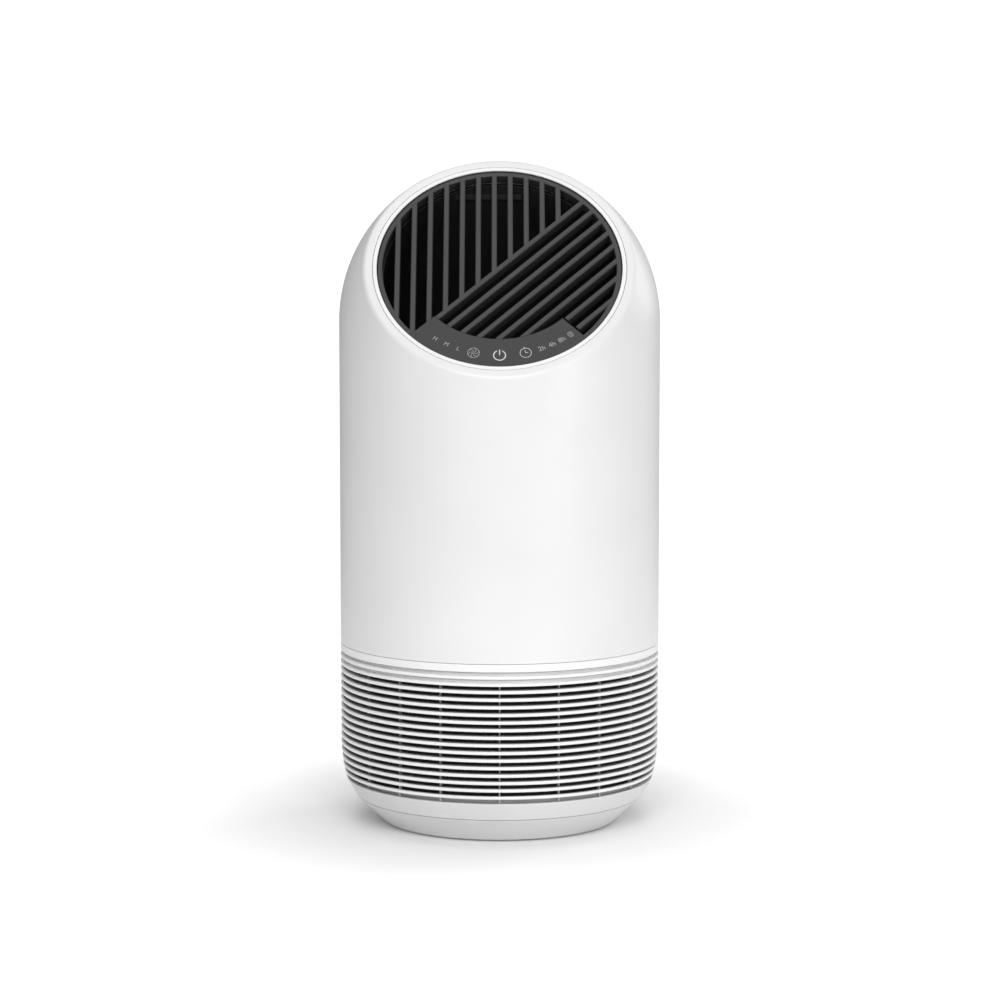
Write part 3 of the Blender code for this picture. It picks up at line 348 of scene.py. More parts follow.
def add_prism(bm, outline, heights, place=None):
    """Adds a flat outline of (x, y) points, raised between two heights."""
    place = place or Matrix.Identity(4)
    low, high = ([bm.verts.new(place @ Vector((x, y, z))) for x, y in outline] for z in heights)
    bm.faces.new(low)
    bm.faces.new(high)
    for i in range(len(outline)):
        j = (i + 1) % len(outline)
        bm.faces.new((low[i], low[j], high[j], high[i]))


def sector_outline(radii, azimuths, steps=48, fillet=0.0):
    """A flat ring sector, with its four corners made round."""
    inner, outer = radii
    start, end = azimuths
    turns = [start + (end - start) * i / steps for i in range(steps + 1)]
    points = [round_point(outer, a, 0) for a in turns]
    points += [round_point(inner, a, 0) for a in turns[::-1]]
    corners = (0, steps, steps + 1, 2 * steps + 1)
    return rounded([(p.x, p.y, fillet if i in corners else 0) for i, p in enumerate(points)])


def rectangle(across, up, *fillets):
    """A rectangle's corners, the low pair first, with a fillet for each pair when any is given."""
    (left, right), (low, high) = across, up
    below, above = fillets[:1], fillets[-1:]
    return [(left, low, *below), (right, low, *below), (right, high, *above), (left, high, *above)]


def turns_round(count, offset=0.0):
    """Turns about Z that are spread evenly over the full circle."""
    return [Matrix.Rotation(TURN * (k + offset) / count, 4, "Z") for k in range(count)]


def new_object(name, data):
    obj = bpy.data.objects.new(name, data)
    bpy.context.scene.collection.objects.link(obj)
    return obj


def to_object(name, bm):
    bmesh.ops.recalc_face_normals(bm, faces=bm.faces)
    mesh = bpy.data.meshes.new(name)
    bm.to_mesh(mesh)
    bm.free()
    return new_object(name, mesh)


def turned(name, outline, steps=ROUND_STEPS):
    bm = bmesh.new()
    add_turned(bm, outline, steps)
    return to_object(name, bm)


def raised(name, outline, heights, place=None):
    bm = bmesh.new()
    add_prism(bm, outline, heights, place)
    return to_object(name, bm)


def bridged(name, sections):
    bm = bmesh.new()
    add_strip(bm, sections)
    return to_object(name, bm)


def bake(obj):
    """Applies the object's modifiers to its mesh."""
    graph = bpy.context.evaluated_depsgraph_get()
    graph.update()
    mesh = bpy.data.meshes.new_from_object(obj.evaluated_get(graph))
    obj.modifiers.clear()
    obj.data = mesh


def combine(obj, tool, operation):
    modifier = obj.modifiers.new("Combine", "BOOLEAN")
    modifier.operation = operation
    modifier.solver = "EXACT"
    modifier.object = tool
    bake(obj)
    bpy.data.objects.remove(tool, do_unlink=True)


def cut_round(obj, radius, heights, place, steps=32):
    """Cuts a round hole along the place's Z axis."""
    tool = turned("hole", rectangle((0, radius), heights), steps)
    tool.data.transform(place)
    combine(obj, tool, "DIFFERENCE")


def through(low, high):
    """The heights of a tool that cuts right through."""
    return low - 1 * MM, high + 1 * MM


def drill(obj, radius, heights, circle_r, azimuths, steps=32):
    """Cuts upright round holes on a circle round Z."""
    for azimuth in azimuths:
        cut_round(obj, radius, heights, on_circle(circle_r, azimuth), steps)


def soften_edges(obj, width):
    modifier = obj.modifiers.new("Soften", "BEVEL")
    modifier.width = width
    modifier.segments = 2
    modifier.limit_method = "ANGLE"
    modifier.angle_limit = SOFTEN_ANGLE
    modifier.use_clamp_overlap = True
    bake(obj)


def smooth_shade(obj):
    obj.data.shade_smooth()
    obj.data.set_sharp_from_angle(angle=SHARP_ANGLE)
    modifier = obj.modifiers.new("Flat faces", "WEIGHTED_NORMAL")
    modifier.keep_sharp = True
    bake(obj)


SLOTS = {part["node"]: part["material_slot"] for part in frame["record"]["subparts"]}


def go_with(obj, material, node_name, place=None):
    """Gives a piece its place and material, and the body of the CAD node it sits on."""
    if place:
        obj.data.transform(place)
    smooth_shade(obj)
    obj.data.materials.clear()
    obj.data.materials.append(material)
    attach(obj, frame["nodes"][node_name]["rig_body"])


def stand_for(obj, node_name, place=None):
    """Makes a piece the looks of a CAD node, in the material of the node's slot."""
    go_with(obj, MATERIALS[SLOTS[node_name]], node_name, place)
    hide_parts(node_name)


# Materials


def node(tree, kind, inputs=(), **settings):
    """Adds a shader node. Each input is a value, or the output that feeds it."""
    made = tree.nodes.new(kind)
    for key, value in settings.items():
        setattr(made, key, value)
    for key, value in dict(inputs).items():
        if isinstance(value, bpy.types.NodeSocket):
            tree.links.new(value, made.inputs[key])
        else:
            made.inputs[key].default_value = value
    return made


def noise(tree, where, scale, detail=3.0, stretch=None):
    if stretch:
        where = node(tree, "ShaderNodeMapping", {"Vector": where, "Scale": stretch}).outputs[0]
    made = node(tree, "ShaderNodeTexNoise", {"Vector": where, "Scale": scale, "Detail": detail})
    return made.outputs["Fac"]


def remap(tree, value, start, end, low, high):
    names = ("Value", "From Min", "From Max", "To Min", "To Max")
    inputs = dict(zip(names, (value, start, end, low, high)))
    return node(tree, "ShaderNodeMapRange", inputs).outputs["Result"]


def maths(tree, operation, *values):
    return node(tree, "ShaderNodeMath", enumerate(values), operation=operation).outputs[0]


def blend(tree, share, *colors):
    """The mix of two colours, each given as three channels or as the output that feeds it."""
    pair = [c if isinstance(c, bpy.types.NodeSocket) else (*c, 1) for c in colors]
    inputs = {0: share, 6: pair[0], 7: pair[1]}
    return node(tree, "ShaderNodeMix", inputs, data_type="RGBA").outputs[2]


def shades(color, factor):
    """The colour made darker or lighter."""
    return tuple(min(channel * factor, 1) for channel in color)


def start_material(name, metallic=0.0):
    material = bpy.data.materials.new(name)
    material.use_nodes = True
    tree = material.node_tree
    tree.nodes["Principled BSDF"].inputs["Metallic"].default_value = metallic
    return material, tree, node(tree, "ShaderNodeTexCoord").outputs["Object"]


def feed_shader(tree, base, rough, bump=None, invert=False):
    """Feeds the shader its colour, its roughness and a bump of (height, strength, distance)."""
    shader = tree.nodes["Principled BSDF"].inputs
    tree.links.new(base, shader["Base Color"])
    tree.links.new(rough, shader["Roughness"])
    if bump:
        inputs = dict(zip(("Height", "Strength", "Distance"), bump))
        made = node(tree, "ShaderNodeBump", inputs, invert=invert)
        tree.links.new(made.outputs["Normal"], shader["Normal"])


def moulded(name, color, roughness, grain=0.35 * MM, height=0.008 * MM, wear=1.06):
    """Moulded plastic: cloudy tone, fine grain, and edges rubbed a little lighter."""
    material, tree, where = start_material(name)
    clouds = remap(tree, noise(tree, where, 14), 0.3, 0.7, 0, 1)
    base = blend(tree, clouds, shades(color, 0.975), shades(color, 1.02))
    pointed = node(tree, "ShaderNodeNewGeometry").outputs["Pointiness"]
    edges = remap(tree, pointed, 0.52, 0.6, 0, 0.5)
    grains = noise(tree, where, 1 / grain, 2)
    rough = remap(tree, grains, 0.25, 0.75, roughness - 0.05, roughness + 0.05)
    feed_shader(tree, blend(tree, edges, base, shades(color, wear)), rough, (grains, 0.6, height))
    return material


def printed_ink(name, color):
    """Screen-printed ink: a little uneven, and duller than the face it lies on."""
    material, tree, where = start_material(name)
    speckle = noise(tree, where, 4000, 2)
    base = blend(tree, remap(tree, speckle, 0.35, 0.65, 0, 1), shades(color, 0.94), color)
    feed_shader(tree, base, remap(tree, speckle, 0.3, 0.7, 0.45, 0.6))
    return material


def fibrous(name, dark, light, fibre=0.25 * MM, height=0.05 * MM):
    """Paper or cloth: matted fibres with a soft, uneven tone."""
    material, tree, where = start_material(name)
    fibres = noise(tree, where, 1 / fibre, 6, (1, 1, 0.35))
    sharp = remap(tree, fibres, 0.3, 0.7, 0, 0.7)
    soft = remap(tree, noise(tree, where, 60), 0.3, 0.7, 0, 0.3)
    base = blend(tree, maths(tree, "ADD", sharp, soft), dark, light)
    feed_shader(tree, base, remap(tree, fibres, 0.3, 0.7, 0.85, 0.98), (fibres, 0.8, height))
    return material


def granular(name, dark, light, grain=1.4 * MM, height=0.5 * MM, roughness=0.85):
    """Packed granules, such as activated carbon, with painted shade in the crevices between them and
    painted light on their domes.
    """
    material, tree, where = start_material(name)
    cells = node(tree, "ShaderNodeTexVoronoi", {"Vector": where, "Scale": 1 / grain})
    near = cells.outputs["Distance"]
    # Painted shade in the crevices between granules, and painted light on their domes.
    base = blend(tree, remap(tree, near, 0, 0.6, 1, 0), dark, light)
    rough = remap(tree, near, 0, 0.6, roughness - 0.2, roughness)
    feed_shader(tree, base, rough, (near, 1.0, height), invert=True)
    return material


def woven_net(name, hole, thread, pitch):
    """A net round Z: crossing threads stand proud of dark holes."""
    material, tree, where = start_material(name)
    split = node(tree, "ShaderNodeSeparateXYZ", {"Vector": where}).outputs
    azimuth = maths(tree, "ARCTAN2", split["X"], split["Y"])
    waves = []
    for value, scale in ((azimuth, round(TURN * SCREEN_R[1] / pitch)), (split["Z"], TURN / pitch)):
        waves.append(maths(tree, "COSINE", maths(tree, "MULTIPLY", value, scale)))
    share = remap(tree, maths(tree, "MAXIMUM", *waves), 0.2, 0.8, 0, 1)
    rough = remap(tree, share, 0, 1, 0.95, 0.6)
    feed_shader(tree, blend(tree, share, hole, thread), rough, (share, 1.0, 0.25 * MM))
    return material


def turned_metal(name, color, roughness):
    """Machined metal: fine rings round Z, and a broken sheen."""
    material, tree, where = start_material(name, 1.0)
    streaks = noise(tree, where, 900, 4, (0.06, 0.06, 1))
    base = blend(tree, remap(tree, streaks, 0.3, 0.7, 0, 1), shades(color, 0.86), color)
    rough = remap(tree, streaks, 0.3, 0.7, roughness - 0.08, roughness + 0.1)
    feed_shader(tree, base, rough, (streaks, 0.5, 0.01 * MM))
    return material


# The black of the gasket's foam, also used on the band in the grille's gap as painted shade.
BLACK_FOAM_AND_GAP_SHADE = (0.01, 0.01, 0.01)
BLACK_DUCT = (0.009, 0.009, 0.0095)
MATERIALS = {
    "housing_white": moulded("satin_white_shell", (0.8, 0.8, 0.803), 0.36),
    "trim_white": moulded("satin_white_trim", (0.87, 0.87, 0.872), 0.38),
    "base_white": moulded("satin_white_base", (0.71, 0.71, 0.713), 0.4),
    "grille_grey": moulded("charcoal_grille", (0.036, 0.036, 0.037), 0.45, 0.5 * MM, 0.012 * MM, 1.3),
    "touch_face": moulded("charcoal_touch_face", (0.022, 0.022, 0.0225), 0.33, 0.25 * MM, 0.002 * MM),
    "dark_plastic": moulded("black_plastic", (0.022, 0.022, 0.024), 0.42, wear=1.4),
    "duct_plastic": moulded("black_duct_plastic", BLACK_DUCT, 0.55, 0.8 * MM, 0.02 * MM, 1.3),
    "fan_plastic": moulded("dark_fan_plastic", (0.06, 0.06, 0.065), 0.4, wear=1.3),
    "circuit_board": moulded("green_solder_mask", (0.015, 0.12, 0.045), 0.3, 0.6 * MM, 0.004 * MM),
    "cream_plastic": moulded("cream_nylon", (0.66, 0.61, 0.48), 0.5),
    "cable": moulded("cable_sheath", (0.03, 0.03, 0.03), 0.5, 0.6 * MM, 0.01 * MM),
    "rubber": moulded("black_rubber", (0.025, 0.025, 0.025), 0.75, 0.5 * MM, 0.03 * MM),
    "filter_cap": moulded("grey_filter_cap", (0.5, 0.52, 0.54), 0.5, 0.8 * MM, 0.02 * MM),
    "filter_paper": fibrous("pleated_filter_paper", (0.68, 0.68, 0.65), (0.86, 0.86, 0.84)),
    "prefilter_mesh": moulded("grey_nylon_net", (0.08, 0.085, 0.09), 0.6, 0.3 * MM, 0.03 * MM),
    "carbon": granular("activated_carbon", (0.006, 0.006, 0.006), (0.06, 0.06, 0.062)),
    "foam": granular("black_foam_and_gap_shade", BLACK_FOAM_AND_GAP_SHADE, (0.05, 0.05, 0.05), 0.6 * MM, 0.15 * MM, 0.95),
    "ribbon": fibrous("blue_ribbon", (0.02, 0.12, 0.28), (0.05, 0.24, 0.5), 0.4 * MM, 0.08 * MM),
    "steel": turned_metal("zinc_plated_steel", (0.6, 0.6, 0.62), 0.3),
    "motor_steel": turned_metal("drawn_steel", (0.42, 0.42, 0.44), 0.38),
    "rotor_steel": turned_metal("laminated_steel", (0.22, 0.22, 0.23), 0.45),
    "copper_winding": turned_metal("lacquered_copper", (0.75, 0.32, 0.14), 0.3),
    "aluminium": turned_metal("bare_aluminium", (0.75, 0.76, 0.78), 0.35),
}
# Painted shade: greys that stand for the shade on the intake's webs, sill and ribs behind the louvre
# lips.
PAINTED_SHADE_WEBS = moulded("inner_frame_painted_shade", (0.34, 0.34, 0.341), 0.55)
PAINTED_SHADE_RIBS = moulded("ribs_painted_shade", (0.5, 0.5, 0.501), 0.5)
NET = woven_net("black_screen_net", (0.003, 0.003, 0.003), (0.014, 0.014, 0.0145), 1.1 * MM)
INK = printed_ink("grey_ink", (0.34, 0.34, 0.34))
BRIGHT_INK = printed_ink("white_ink", (0.72, 0.72, 0.72))


def finish_carried_nodes():
    """Every CAD node takes the material of its slot, whether or not a piece stands for it."""
    for name, obj in frame["nodes"].items():
        obj.data.materials.clear()
        obj.data.materials.append(MATERIALS[SLOTS[name]])


# The head's skin


def outlet_point(radius, angle, depth=0.0):
    """A point in the outlet plane. The angle runs from the plane's low front point."""
    normal = Vector((0, -math.cos(OUTLET_TILT), math.sin(OUTLET_TILT)))
    uphill = Vector((0, math.sin(OUTLET_TILT), math.cos(OUTLET_TILT)))
    centre = Vector((0, 0, HEAD_Z)) + normal * (OUTLET_D - depth)
    return centre + Vector((radius * math.sin(angle), 0, 0)) - uphill * radius * math.cos(angle)


def rim_latitude(azimuth, body_r, plane_d):
    """The latitude on the head's sphere where the outlet plane cuts it."""
    level = math.cos(azimuth) * math.cos(OUTLET_TILT)
    rise = math.sin(OUTLET_TILT)
    reach = plane_d / body_r / math.hypot(level, rise)
    if reach >= 1:
        return math.pi / 2
    return math.atan2(rise, level) - math.acos(reach)


def on_skin(point, body_r, plane_d):
    """The point moved onto the skin: a sphere above HEAD_Z, a drawn-in cylinder below it."""
    if point.z >= HEAD_Z:
        centre = Vector((0, 0, HEAD_Z))
        return centre + (point - centre).normalized() * body_r
    azimuth = math.atan2(point.x, -point.y)
    latitude = min(rim_latitude(azimuth, body_r, plane_d), 0)
    rim_z = HEAD_Z + body_r * math.sin(latitude)
    share = min(max((point.z - BLEND_Z) / (rim_z - BLEND_Z), 0), 1)
    drawn_in = body_r * (1 - math.cos(latitude)) * share * share * (3 - 2 * share)
    return round_point(body_r - drawn_in, azimuth, point.z)


def evenly_spaced(points, count):
    """Points picked at even distances along a line."""
    lengths = [0.0]
    for a, b in zip(points, points[1:]):
        lengths.append(lengths[-1] + (b - a).length)
    picked = []
    index = 0
    for k in range(count):
        target = lengths[-1] * k / (count - 1)
        while index < len(points) - 2 and lengths[index + 1] < target:
            index += 1
        share = (target - lengths[index]) / (lengths[index + 1] - lengths[index])
        picked.append(points[index].lerp(points[index + 1], share))
    return picked


def skin_line(angle, body_r, plane_d, count, start=0.0):
    """Points down the skin from the outlet's rim (or start metres below it) to BLEND_Z."""
    rim_r = math.sqrt(body_r**2 - plane_d**2)
    rim = outlet_point(rim_r, angle, OUTLET_D - plane_d)
    foot = round_point(body_r, angle, BLEND_Z)
    dense = [on_skin(rim.lerp(foot, share), body_r, plane_d) for share in shares(200)]
    dense[0] = rim
    while start and (dense[1] - rim).length < start:
        dense.pop(0)
    if start:
        share = (start - (dense[0] - rim).length) / (dense[1] - dense[0]).length
        dense[0] = dense[0].lerp(dense[1], max(share, 0))
    return evenly_spaced(dense, count)


def build_housing():
    """The white shell, as columns that run up its outside, over the rim and down its inside."""
    inner_r = BODY_R - WALL
    inner_d = OUTLET_D - RIM_T
    rim_r = math.sqrt(BODY_R**2 - OUTLET_D**2)
    edge = 0.35 * MM
    straight_z = [SEAM_Z + (BLEND_Z - SEAM_Z) * k / 12 for k in range(1, 12)]
    columns = []
    for i in range(HOUSING_COLUMNS):
        angle = TURN * i / HOUSING_COLUMNS
        outer = skin_line(angle, BODY_R, OUTLET_D, 64, RIM_FILLET)
        corner = outlet_point(rim_r, angle)
        fillet = bend(outlet_point(RIM_FLAT_R, angle), corner, outer[0], 10)[:-1]
        bore = [
            outlet_point(RIM_BORE_R + edge, angle),
            outlet_point(RIM_BORE_R + edge * 0.3, angle, edge * 0.3),
            outlet_point(RIM_BORE_R, angle, edge),
            outlet_point(RIM_BORE_R, angle, RIM_T),
        ]
        inner = skin_line(angle, inner_r, inner_d, 24)
        straight = [round_point(BODY_R, angle, z) for z in straight_z]
        foot = [
            round_point(BODY_R - edge, angle, SEAM_Z),
            round_point(BODY_R - edge * 0.3, angle, SEAM_Z + edge * 0.3),
            round_point(BODY_R, angle, SEAM_Z + edge),
        ]
        column = foot + straight + outer[::-1] + fillet[::-1] + bore + inner
        columns.append(column + [round_point(inner_r, angle, SEAM_Z)])
    bm = bmesh.new()
    add_rings(bm, list(zip(*columns)))
    shell = to_object("housing_shell", bm)
    low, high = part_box("power_socket")
    place = Matrix.Translation((0, low.y, (low.z + high.z) / 2)) @ BACKWARDS
    cut_round(shell, SOCKET_HOLE_R, (0, 20 * MM), place, 48)
    stand_for(shell, "upper_housing")


# The outlet


def build_bezel():
    flange_top = -RIM_T - GAP
    ledge_top = GRILLE_BOTTOM - GAP
    ledge_low = ledge_top - 1.8 * MM
    ledge_r, flange_r = 76 * MM, 84.4 * MM
    fine = 0.35 * MM
    outline = [
        (BEZEL_IN_R, 0, fine),
        (BEZEL_OUT_R, 0, fine),
        (BEZEL_OUT_R, flange_top, 0),
        (flange_r, flange_top, fine),
        (BEZEL_OUT_R, ledge_low, fine),
        (ledge_r, ledge_low, fine),
        (ledge_r, ledge_top, fine),
        (BEZEL_IN_R, ledge_top, 0),
    ]
    bezel = turned("outlet_ring", rounded(outline), FINE_STEPS)
    stand_for(bezel, "outlet_bezel", place=on_outlet())


def bar_between(start, end, fillet):
    """A bar with a rounded top between two points of the outlet plane."""
    run = (end - start).normalized()
    side = Vector((-run.y, run.x))
    half = BAR_W / 2
    section = rounded(rectangle((-half, half), (GRILLE_BOTTOM, GRILLE_TOP), 0, fillet), 5)
    return bridged("bar", [[(*(spot + side * x), z) for x, z in section] for spot in (start, end)])


def upright_bars():
    """The ends of each upright bar: up from the diagonal, or from the ring, to the ring."""
    anchor_r = GRILLE_R - GRILLE_FRAME / 2
    for k in range(UPRIGHT_COUNT):
        u = UPRIGHT_FIRST + UPRIGHT_PITCH * k
        edge = math.sqrt(anchor_r**2 - u**2)
        yield Vector((u, max(u, -edge))), Vector((u, edge))


def slanted_bars():
    """The ends of each slanted bar, from the panel's tray or the ring's low side, up to the ring."""
    anchor_r = GRILLE_R - GRILLE_FRAME / 2
    wall_r = PANEL_IN_R - GAP - TRAY_WALL / 2
    along = Vector((1, 1)).normalized()
    across = Vector((1, -1)).normalized()
    for k in range(SLANT_COUNT):
        offset = SLANT_PITCH * k
        reach = math.sqrt(anchor_r**2 - offset**2)
        start = -math.sqrt(wall_r**2 - offset**2) if offset < wall_r else 1 * MM
        yield across * offset + along * start, across * offset + along * reach


def build_grille():
    heights = (GRILLE_BOTTOM, GRILLE_TOP)
    frame_in_r = GRILLE_R - GRILLE_FRAME
    ring = [
        (frame_in_r, GRILLE_BOTTOM, 0),
        (GRILLE_R - GAP, GRILLE_BOTTOM, 0),
        (GRILLE_R - GAP, GRILLE_TOP, 0.25 * MM),
        (frame_in_r, GRILLE_TOP, 0.7 * MM),
    ]
    grille = turned("outlet_bars", rounded(ring))
    tray_in_r = PANEL_IN_R - GAP - TRAY_WALL
    reach = (PANEL_FROM - TRAY_END, PANEL_TO + TRAY_END)
    block = sector_outline((tray_in_r, GRILLE_R - GAP), reach)
    combine(grille, raised("tool", block, heights), "UNION")
    for bars, fillet in ((upright_bars(), 0.8 * MM), (slanted_bars(), 1.2 * MM)):
        for start, end in bars:
            combine(grille, bar_between(start, end, fillet), "UNION")
    wider = (reach[0] - 0.001, reach[1] + 0.001)
    seat = sector_outline((tray_in_r - SEAM_GAP, GRILLE_R + 1 * MM), wider)
    combine(grille, raised("tool", seat, (GRILLE_TOP - PANEL_T - SEAM_GAP, 1 * MM)), "DIFFERENCE")
    stand_for(grille, "outlet_grille", place=on_outlet())


def build_gap_shadow_band():
    """A thin black band in the gap between the grille's edge and the bezel: painted shade for the dark
    line in that gap.
    """
    outer = BEZEL_IN_R - SHADOW_BAND_CLEARANCE
    section = rectangle((outer - SHADOW_BAND_T, outer), (GRILLE_BOTTOM, GRILLE_TOP + SHADOW_BAND_RISE))
    shadow_band = turned("gap_shadow_band", section, FINE_STEPS)
    # Painted shade: the band is drawn in the gasket's black foam to darken the gap.
    go_with(shadow_band, MATERIALS["foam"], "outlet_grille", place=on_outlet())


def build_touch_panel():
    """The flat touch panel, which caps the whole tray."""
    radii = (PANEL_IN_R - GAP - TRAY_WALL, GRILLE_R)
    outline = sector_outline(radii, (PANEL_FROM - TRAY_END, PANEL_TO + TRAY_END), 96)
    panel = raised("touch_face", outline, (GRILLE_TOP - PANEL_T, GRILLE_TOP))
    soften_edges(panel, 0.15 * MM)
    stand_for(panel, "touch_panel", place=on_outlet())


# The printed symbols, drawn about the origin with +Y towards the panel's centre


def stroke(points, width, closed=False):
    """The outline of a line of even width, as quads that overlap at their joints."""
    points = [Vector(point) for point in points]
    quads = []
    for a, b in zip(points, points[1:] + points[:1] if closed else points[1:]):
        run = (b - a).normalized()
        side = Vector((-run.y, run.x)) * width / 2
        cap = run * width * 0.12
        quads.append([a - side - cap, b - side + cap, b + side + cap, a + side - cap])
    return quads


def arc(radius, start, end, steps):
    """Points round the origin. Angles in degrees run clockwise from +Y."""
    turns = [math.radians(start + (end - start) * i / steps) for i in range(steps + 1)]
    return [Vector((math.sin(a), math.cos(a))) * radius for a in turns]


def ring_band(radius, start, end, width):
    """A band round the origin, as quads."""
    steps = 48
    outer = arc(radius + width / 2, start, end, steps)
    inner = arc(radius - width / 2, start, end, steps)
    return [[outer[i], outer[i + 1], inner[i + 1], inner[i]] for i in range(steps)]


def power_symbol():
    line = 0.62 * MM
    bar = stroke([(0, 0.3 * MM), (0, 4.3 * MM)], line)
    return ring_band(3.75 * MM, 26, 334, line) + bar


def timer_symbol():
    line = 0.3 * MM
    hands = [(0, 1.9 * MM), (0, 0), (1.6 * MM, 0)]
    knob = [(0, 3.65 * MM), (0, 4.2 * MM)]
    return ring_band(3.55 * MM, 0, 360, line) + stroke(hands, line) + stroke(knob, 2.6 * line)


def fan_symbol():
    """A ring with six swept blades."""
    line = 0.36 * MM
    quads = ring_band(3.75 * MM, 0, 360, line)
    blade = ((3.65 * MM, 0), (2.3 * MM, 34), (0.5 * MM, 50))
    for k in range(6):
        points = [arc(radius, 60 * k + turn, 60 * k + turn, 1)[0] for radius, turn in blade]
        quads += stroke(points, line)
    return quads


def filter_symbol():
    line = 0.28 * MM
    half = 1.5 * MM
    tall = 2.0 * MM
    cut = 0.7 * MM
    low = [(-half, cut - tall), (cut - half, -tall), (half - cut, -tall), (half, cut - tall)]
    high = [(x, -y) for x, y in low[::-1]]
    quads = stroke(low + high, line, True)
    quads += stroke([(0, -tall), (0, tall)], line * 0.8)
    for y in (-tall / 2, 0, tall / 2):
        quads += stroke([(-half, y), (half, y)], line * 0.8)
    return quads


def add_lettering(bm, text, height, place):
    """Adds raised letters in Blender's own font, centred on the origin before they are placed."""
    curve = bpy.data.curves.new("letters", "FONT")
    curve.body = text
    curve.size = height / FONT_CAP
    curve.align_x = curve.align_y = "CENTER"
    curve.extrude = INK_T / 2
    curve.resolution_u = 4
    obj = new_object("letters", curve)
    mesh = bpy.data.meshes.new_from_object(obj)
    mesh.transform(place)
    bm.from_mesh(mesh)
    bpy.data.objects.remove(obj, do_unlink=True)
    bpy.data.meshes.remove(mesh)


def symbol_place(degrees):
    """Takes a symbol to its place on the panel, upright towards the panel's centre."""
    angle = math.radians(degrees)
    spot = round_point(SYMBOL_R, angle, GRILLE_TOP + INK_T / 2)
    return on_outlet() @ Matrix.Translation(spot) @ Matrix.Rotation(angle, 4, "Z")


def add_icon(bm, quads, degrees):
    for quad in quads:
        add_prism(bm, quad, (-INK_T / 2, INK_T / 2), symbol_place(degrees))


def build_symbols():
    bm = bmesh.new()
    for text, degrees in LABELS.items():
        add_lettering(bm, text, LABEL_SIZES[len(text)], symbol_place(degrees))
    add_icon(bm, fan_symbol(), -ICON_TURN)
    add_icon(bm, filter_symbol(), FILTER_TURN)
    go_with(to_object("panel_symbols", bm), INK, "touch_panel")
    bm = bmesh.new()
    add_icon(bm, power_symbol(), 0)
    add_icon(bm, timer_symbol(), ICON_TURN)
    go_with(to_object("bright_symbols", bm), BRIGHT_INK, "touch_panel")


# The intake


def slat_radius(z):
    """The outer radius of the intake, which draws in towards the base."""
    if z >= DRAW_IN_Z:
        return BODY_R
    drop = (DRAW_IN_Z - z) / (DRAW_IN_Z - SILL_Z)
    return BODY_R - DRAW_IN * drop**3.1


def slat_outline(low, high):
    """A louvre's lip in section: flat above and below, with a crowned front."""
    front = []
    for share in shares(10):
        z = low + (high - low) * share
        across = 2 * share - 1
        front.append((slat_radius(z) - SLAT_CROWN * across**4 * (1 - 0.25 * across), z))
    back_r = slat_radius(low) - SLAT_LIP
    return [(back_r, low), *front, (back_r, high)]


def web_outline(low, high):
    """The web behind a lip, level with its top and thinning inward below; its grey is painted shade."""
    front_r = slat_radius(low) - SLAT_LIP + 0.3 * MM
    front = [(front_r, low + 0.2 * MM), (front_r, high)]
    return [(SLAT_IN_R, low + SLAT_TAPER), *front, (SLAT_IN_R, high)]


def collar_outline():
    """The closed collar above the louvres, with two blind gaps."""
    top = SEAM_Z - SEAM_GAP
    floor_r = BODY_R - BLIND_DEPTH
    edge = FINE * 0.3
    corners = [(BODY_R - FINE, top, 0), (BODY_R - edge, top - edge, 0), (BODY_R, top - FINE, 0)]
    for gap_top in BLIND_TOPS:
        gap_low = gap_top - BLIND_GAP
        slot_low = gap_top - BLIND_SLOT
        corners += [
            (BODY_R, gap_top, FINE),
            (floor_r - 1 * MM, gap_top, 0),
            (floor_r - 1 * MM, slot_low, 0),
            (floor_r, slot_low, 0),
            (floor_r, gap_low, 0),
            (BODY_R, gap_low, 0.6 * MM),
        ]
    corners += [
        (BODY_R, FIRST_GAP_TOP, 0.5 * MM),
        (FLANGE_R, FIRST_GAP_TOP, 0),
        (FLANGE_R, FLANGE_TOP, 0),
        (SLAT_IN_R, FLANGE_TOP, 0),
        (SLAT_IN_R, top, 0),
    ]
    return rounded(corners)


def build_intake():
    """The louvres' white lips, the webs behind them and the upright ribs in greys of painted shade, and
    the fine net.
    """
    lips, frame_bm, rib_bm = bmesh.new(), bmesh.new(), bmesh.new()
    add_turned(lips, collar_outline(), FINE_STEPS)
    tops = [FIRST_GAP_TOP - SLAT_PITCH * k - SLAT_GAP for k in range(GAP_COUNT)]
    for high in tops:
        add_turned(lips, slat_outline(high - SLAT_H, high), FINE_STEPS)
        add_turned(frame_bm, web_outline(high - SLAT_H, high - 0.05 * MM), FINE_STEPS)
    foot_z = tops[-1] - SLAT_H + 0.3 * MM
    # The sill takes the webs' grey of painted shade.
    add_turned(frame_bm, rectangle((RIB_IN_R, SILL_R), (SILL_Z, foot_z)))
    front_r = SLAT_IN_R + FINE
    section = rectangle((-RIB_W / 2, RIB_W / 2), (front_r - RIB_DEPTH, front_r), 0, FINE)
    outline = [(x, -y) for x, y in rounded(section)]
    heights = (SILL_Z, FIRST_GAP_TOP + 1 * MM)
    for azimuth in rib_azimuths():
        add_prism(rib_bm, outline, heights, Matrix.Rotation(azimuth, 4, "Z"))
    stand_for(to_object("intake_lips", lips), "intake_grille")
    # The webs and sill, and the ribs, carry greys of painted shade.
    go_with(to_object("intake_frame", frame_bm), PAINTED_SHADE_WEBS, "intake_grille")
    go_with(to_object("intake_ribs", rib_bm), PAINTED_SHADE_RIBS, "intake_grille")
    screen = turned("intake_screen", rectangle(SCREEN_R, (SILL_Z, FIRST_GAP_TOP)))
    go_with(screen, NET, "intake_grille")


def rib_azimuths():
    front = [-a for a in reversed(RIB_AZIMUTHS)] + [0.0] + RIB_AZIMUTHS
    return front + [math.pi + a for a in front]


# The base


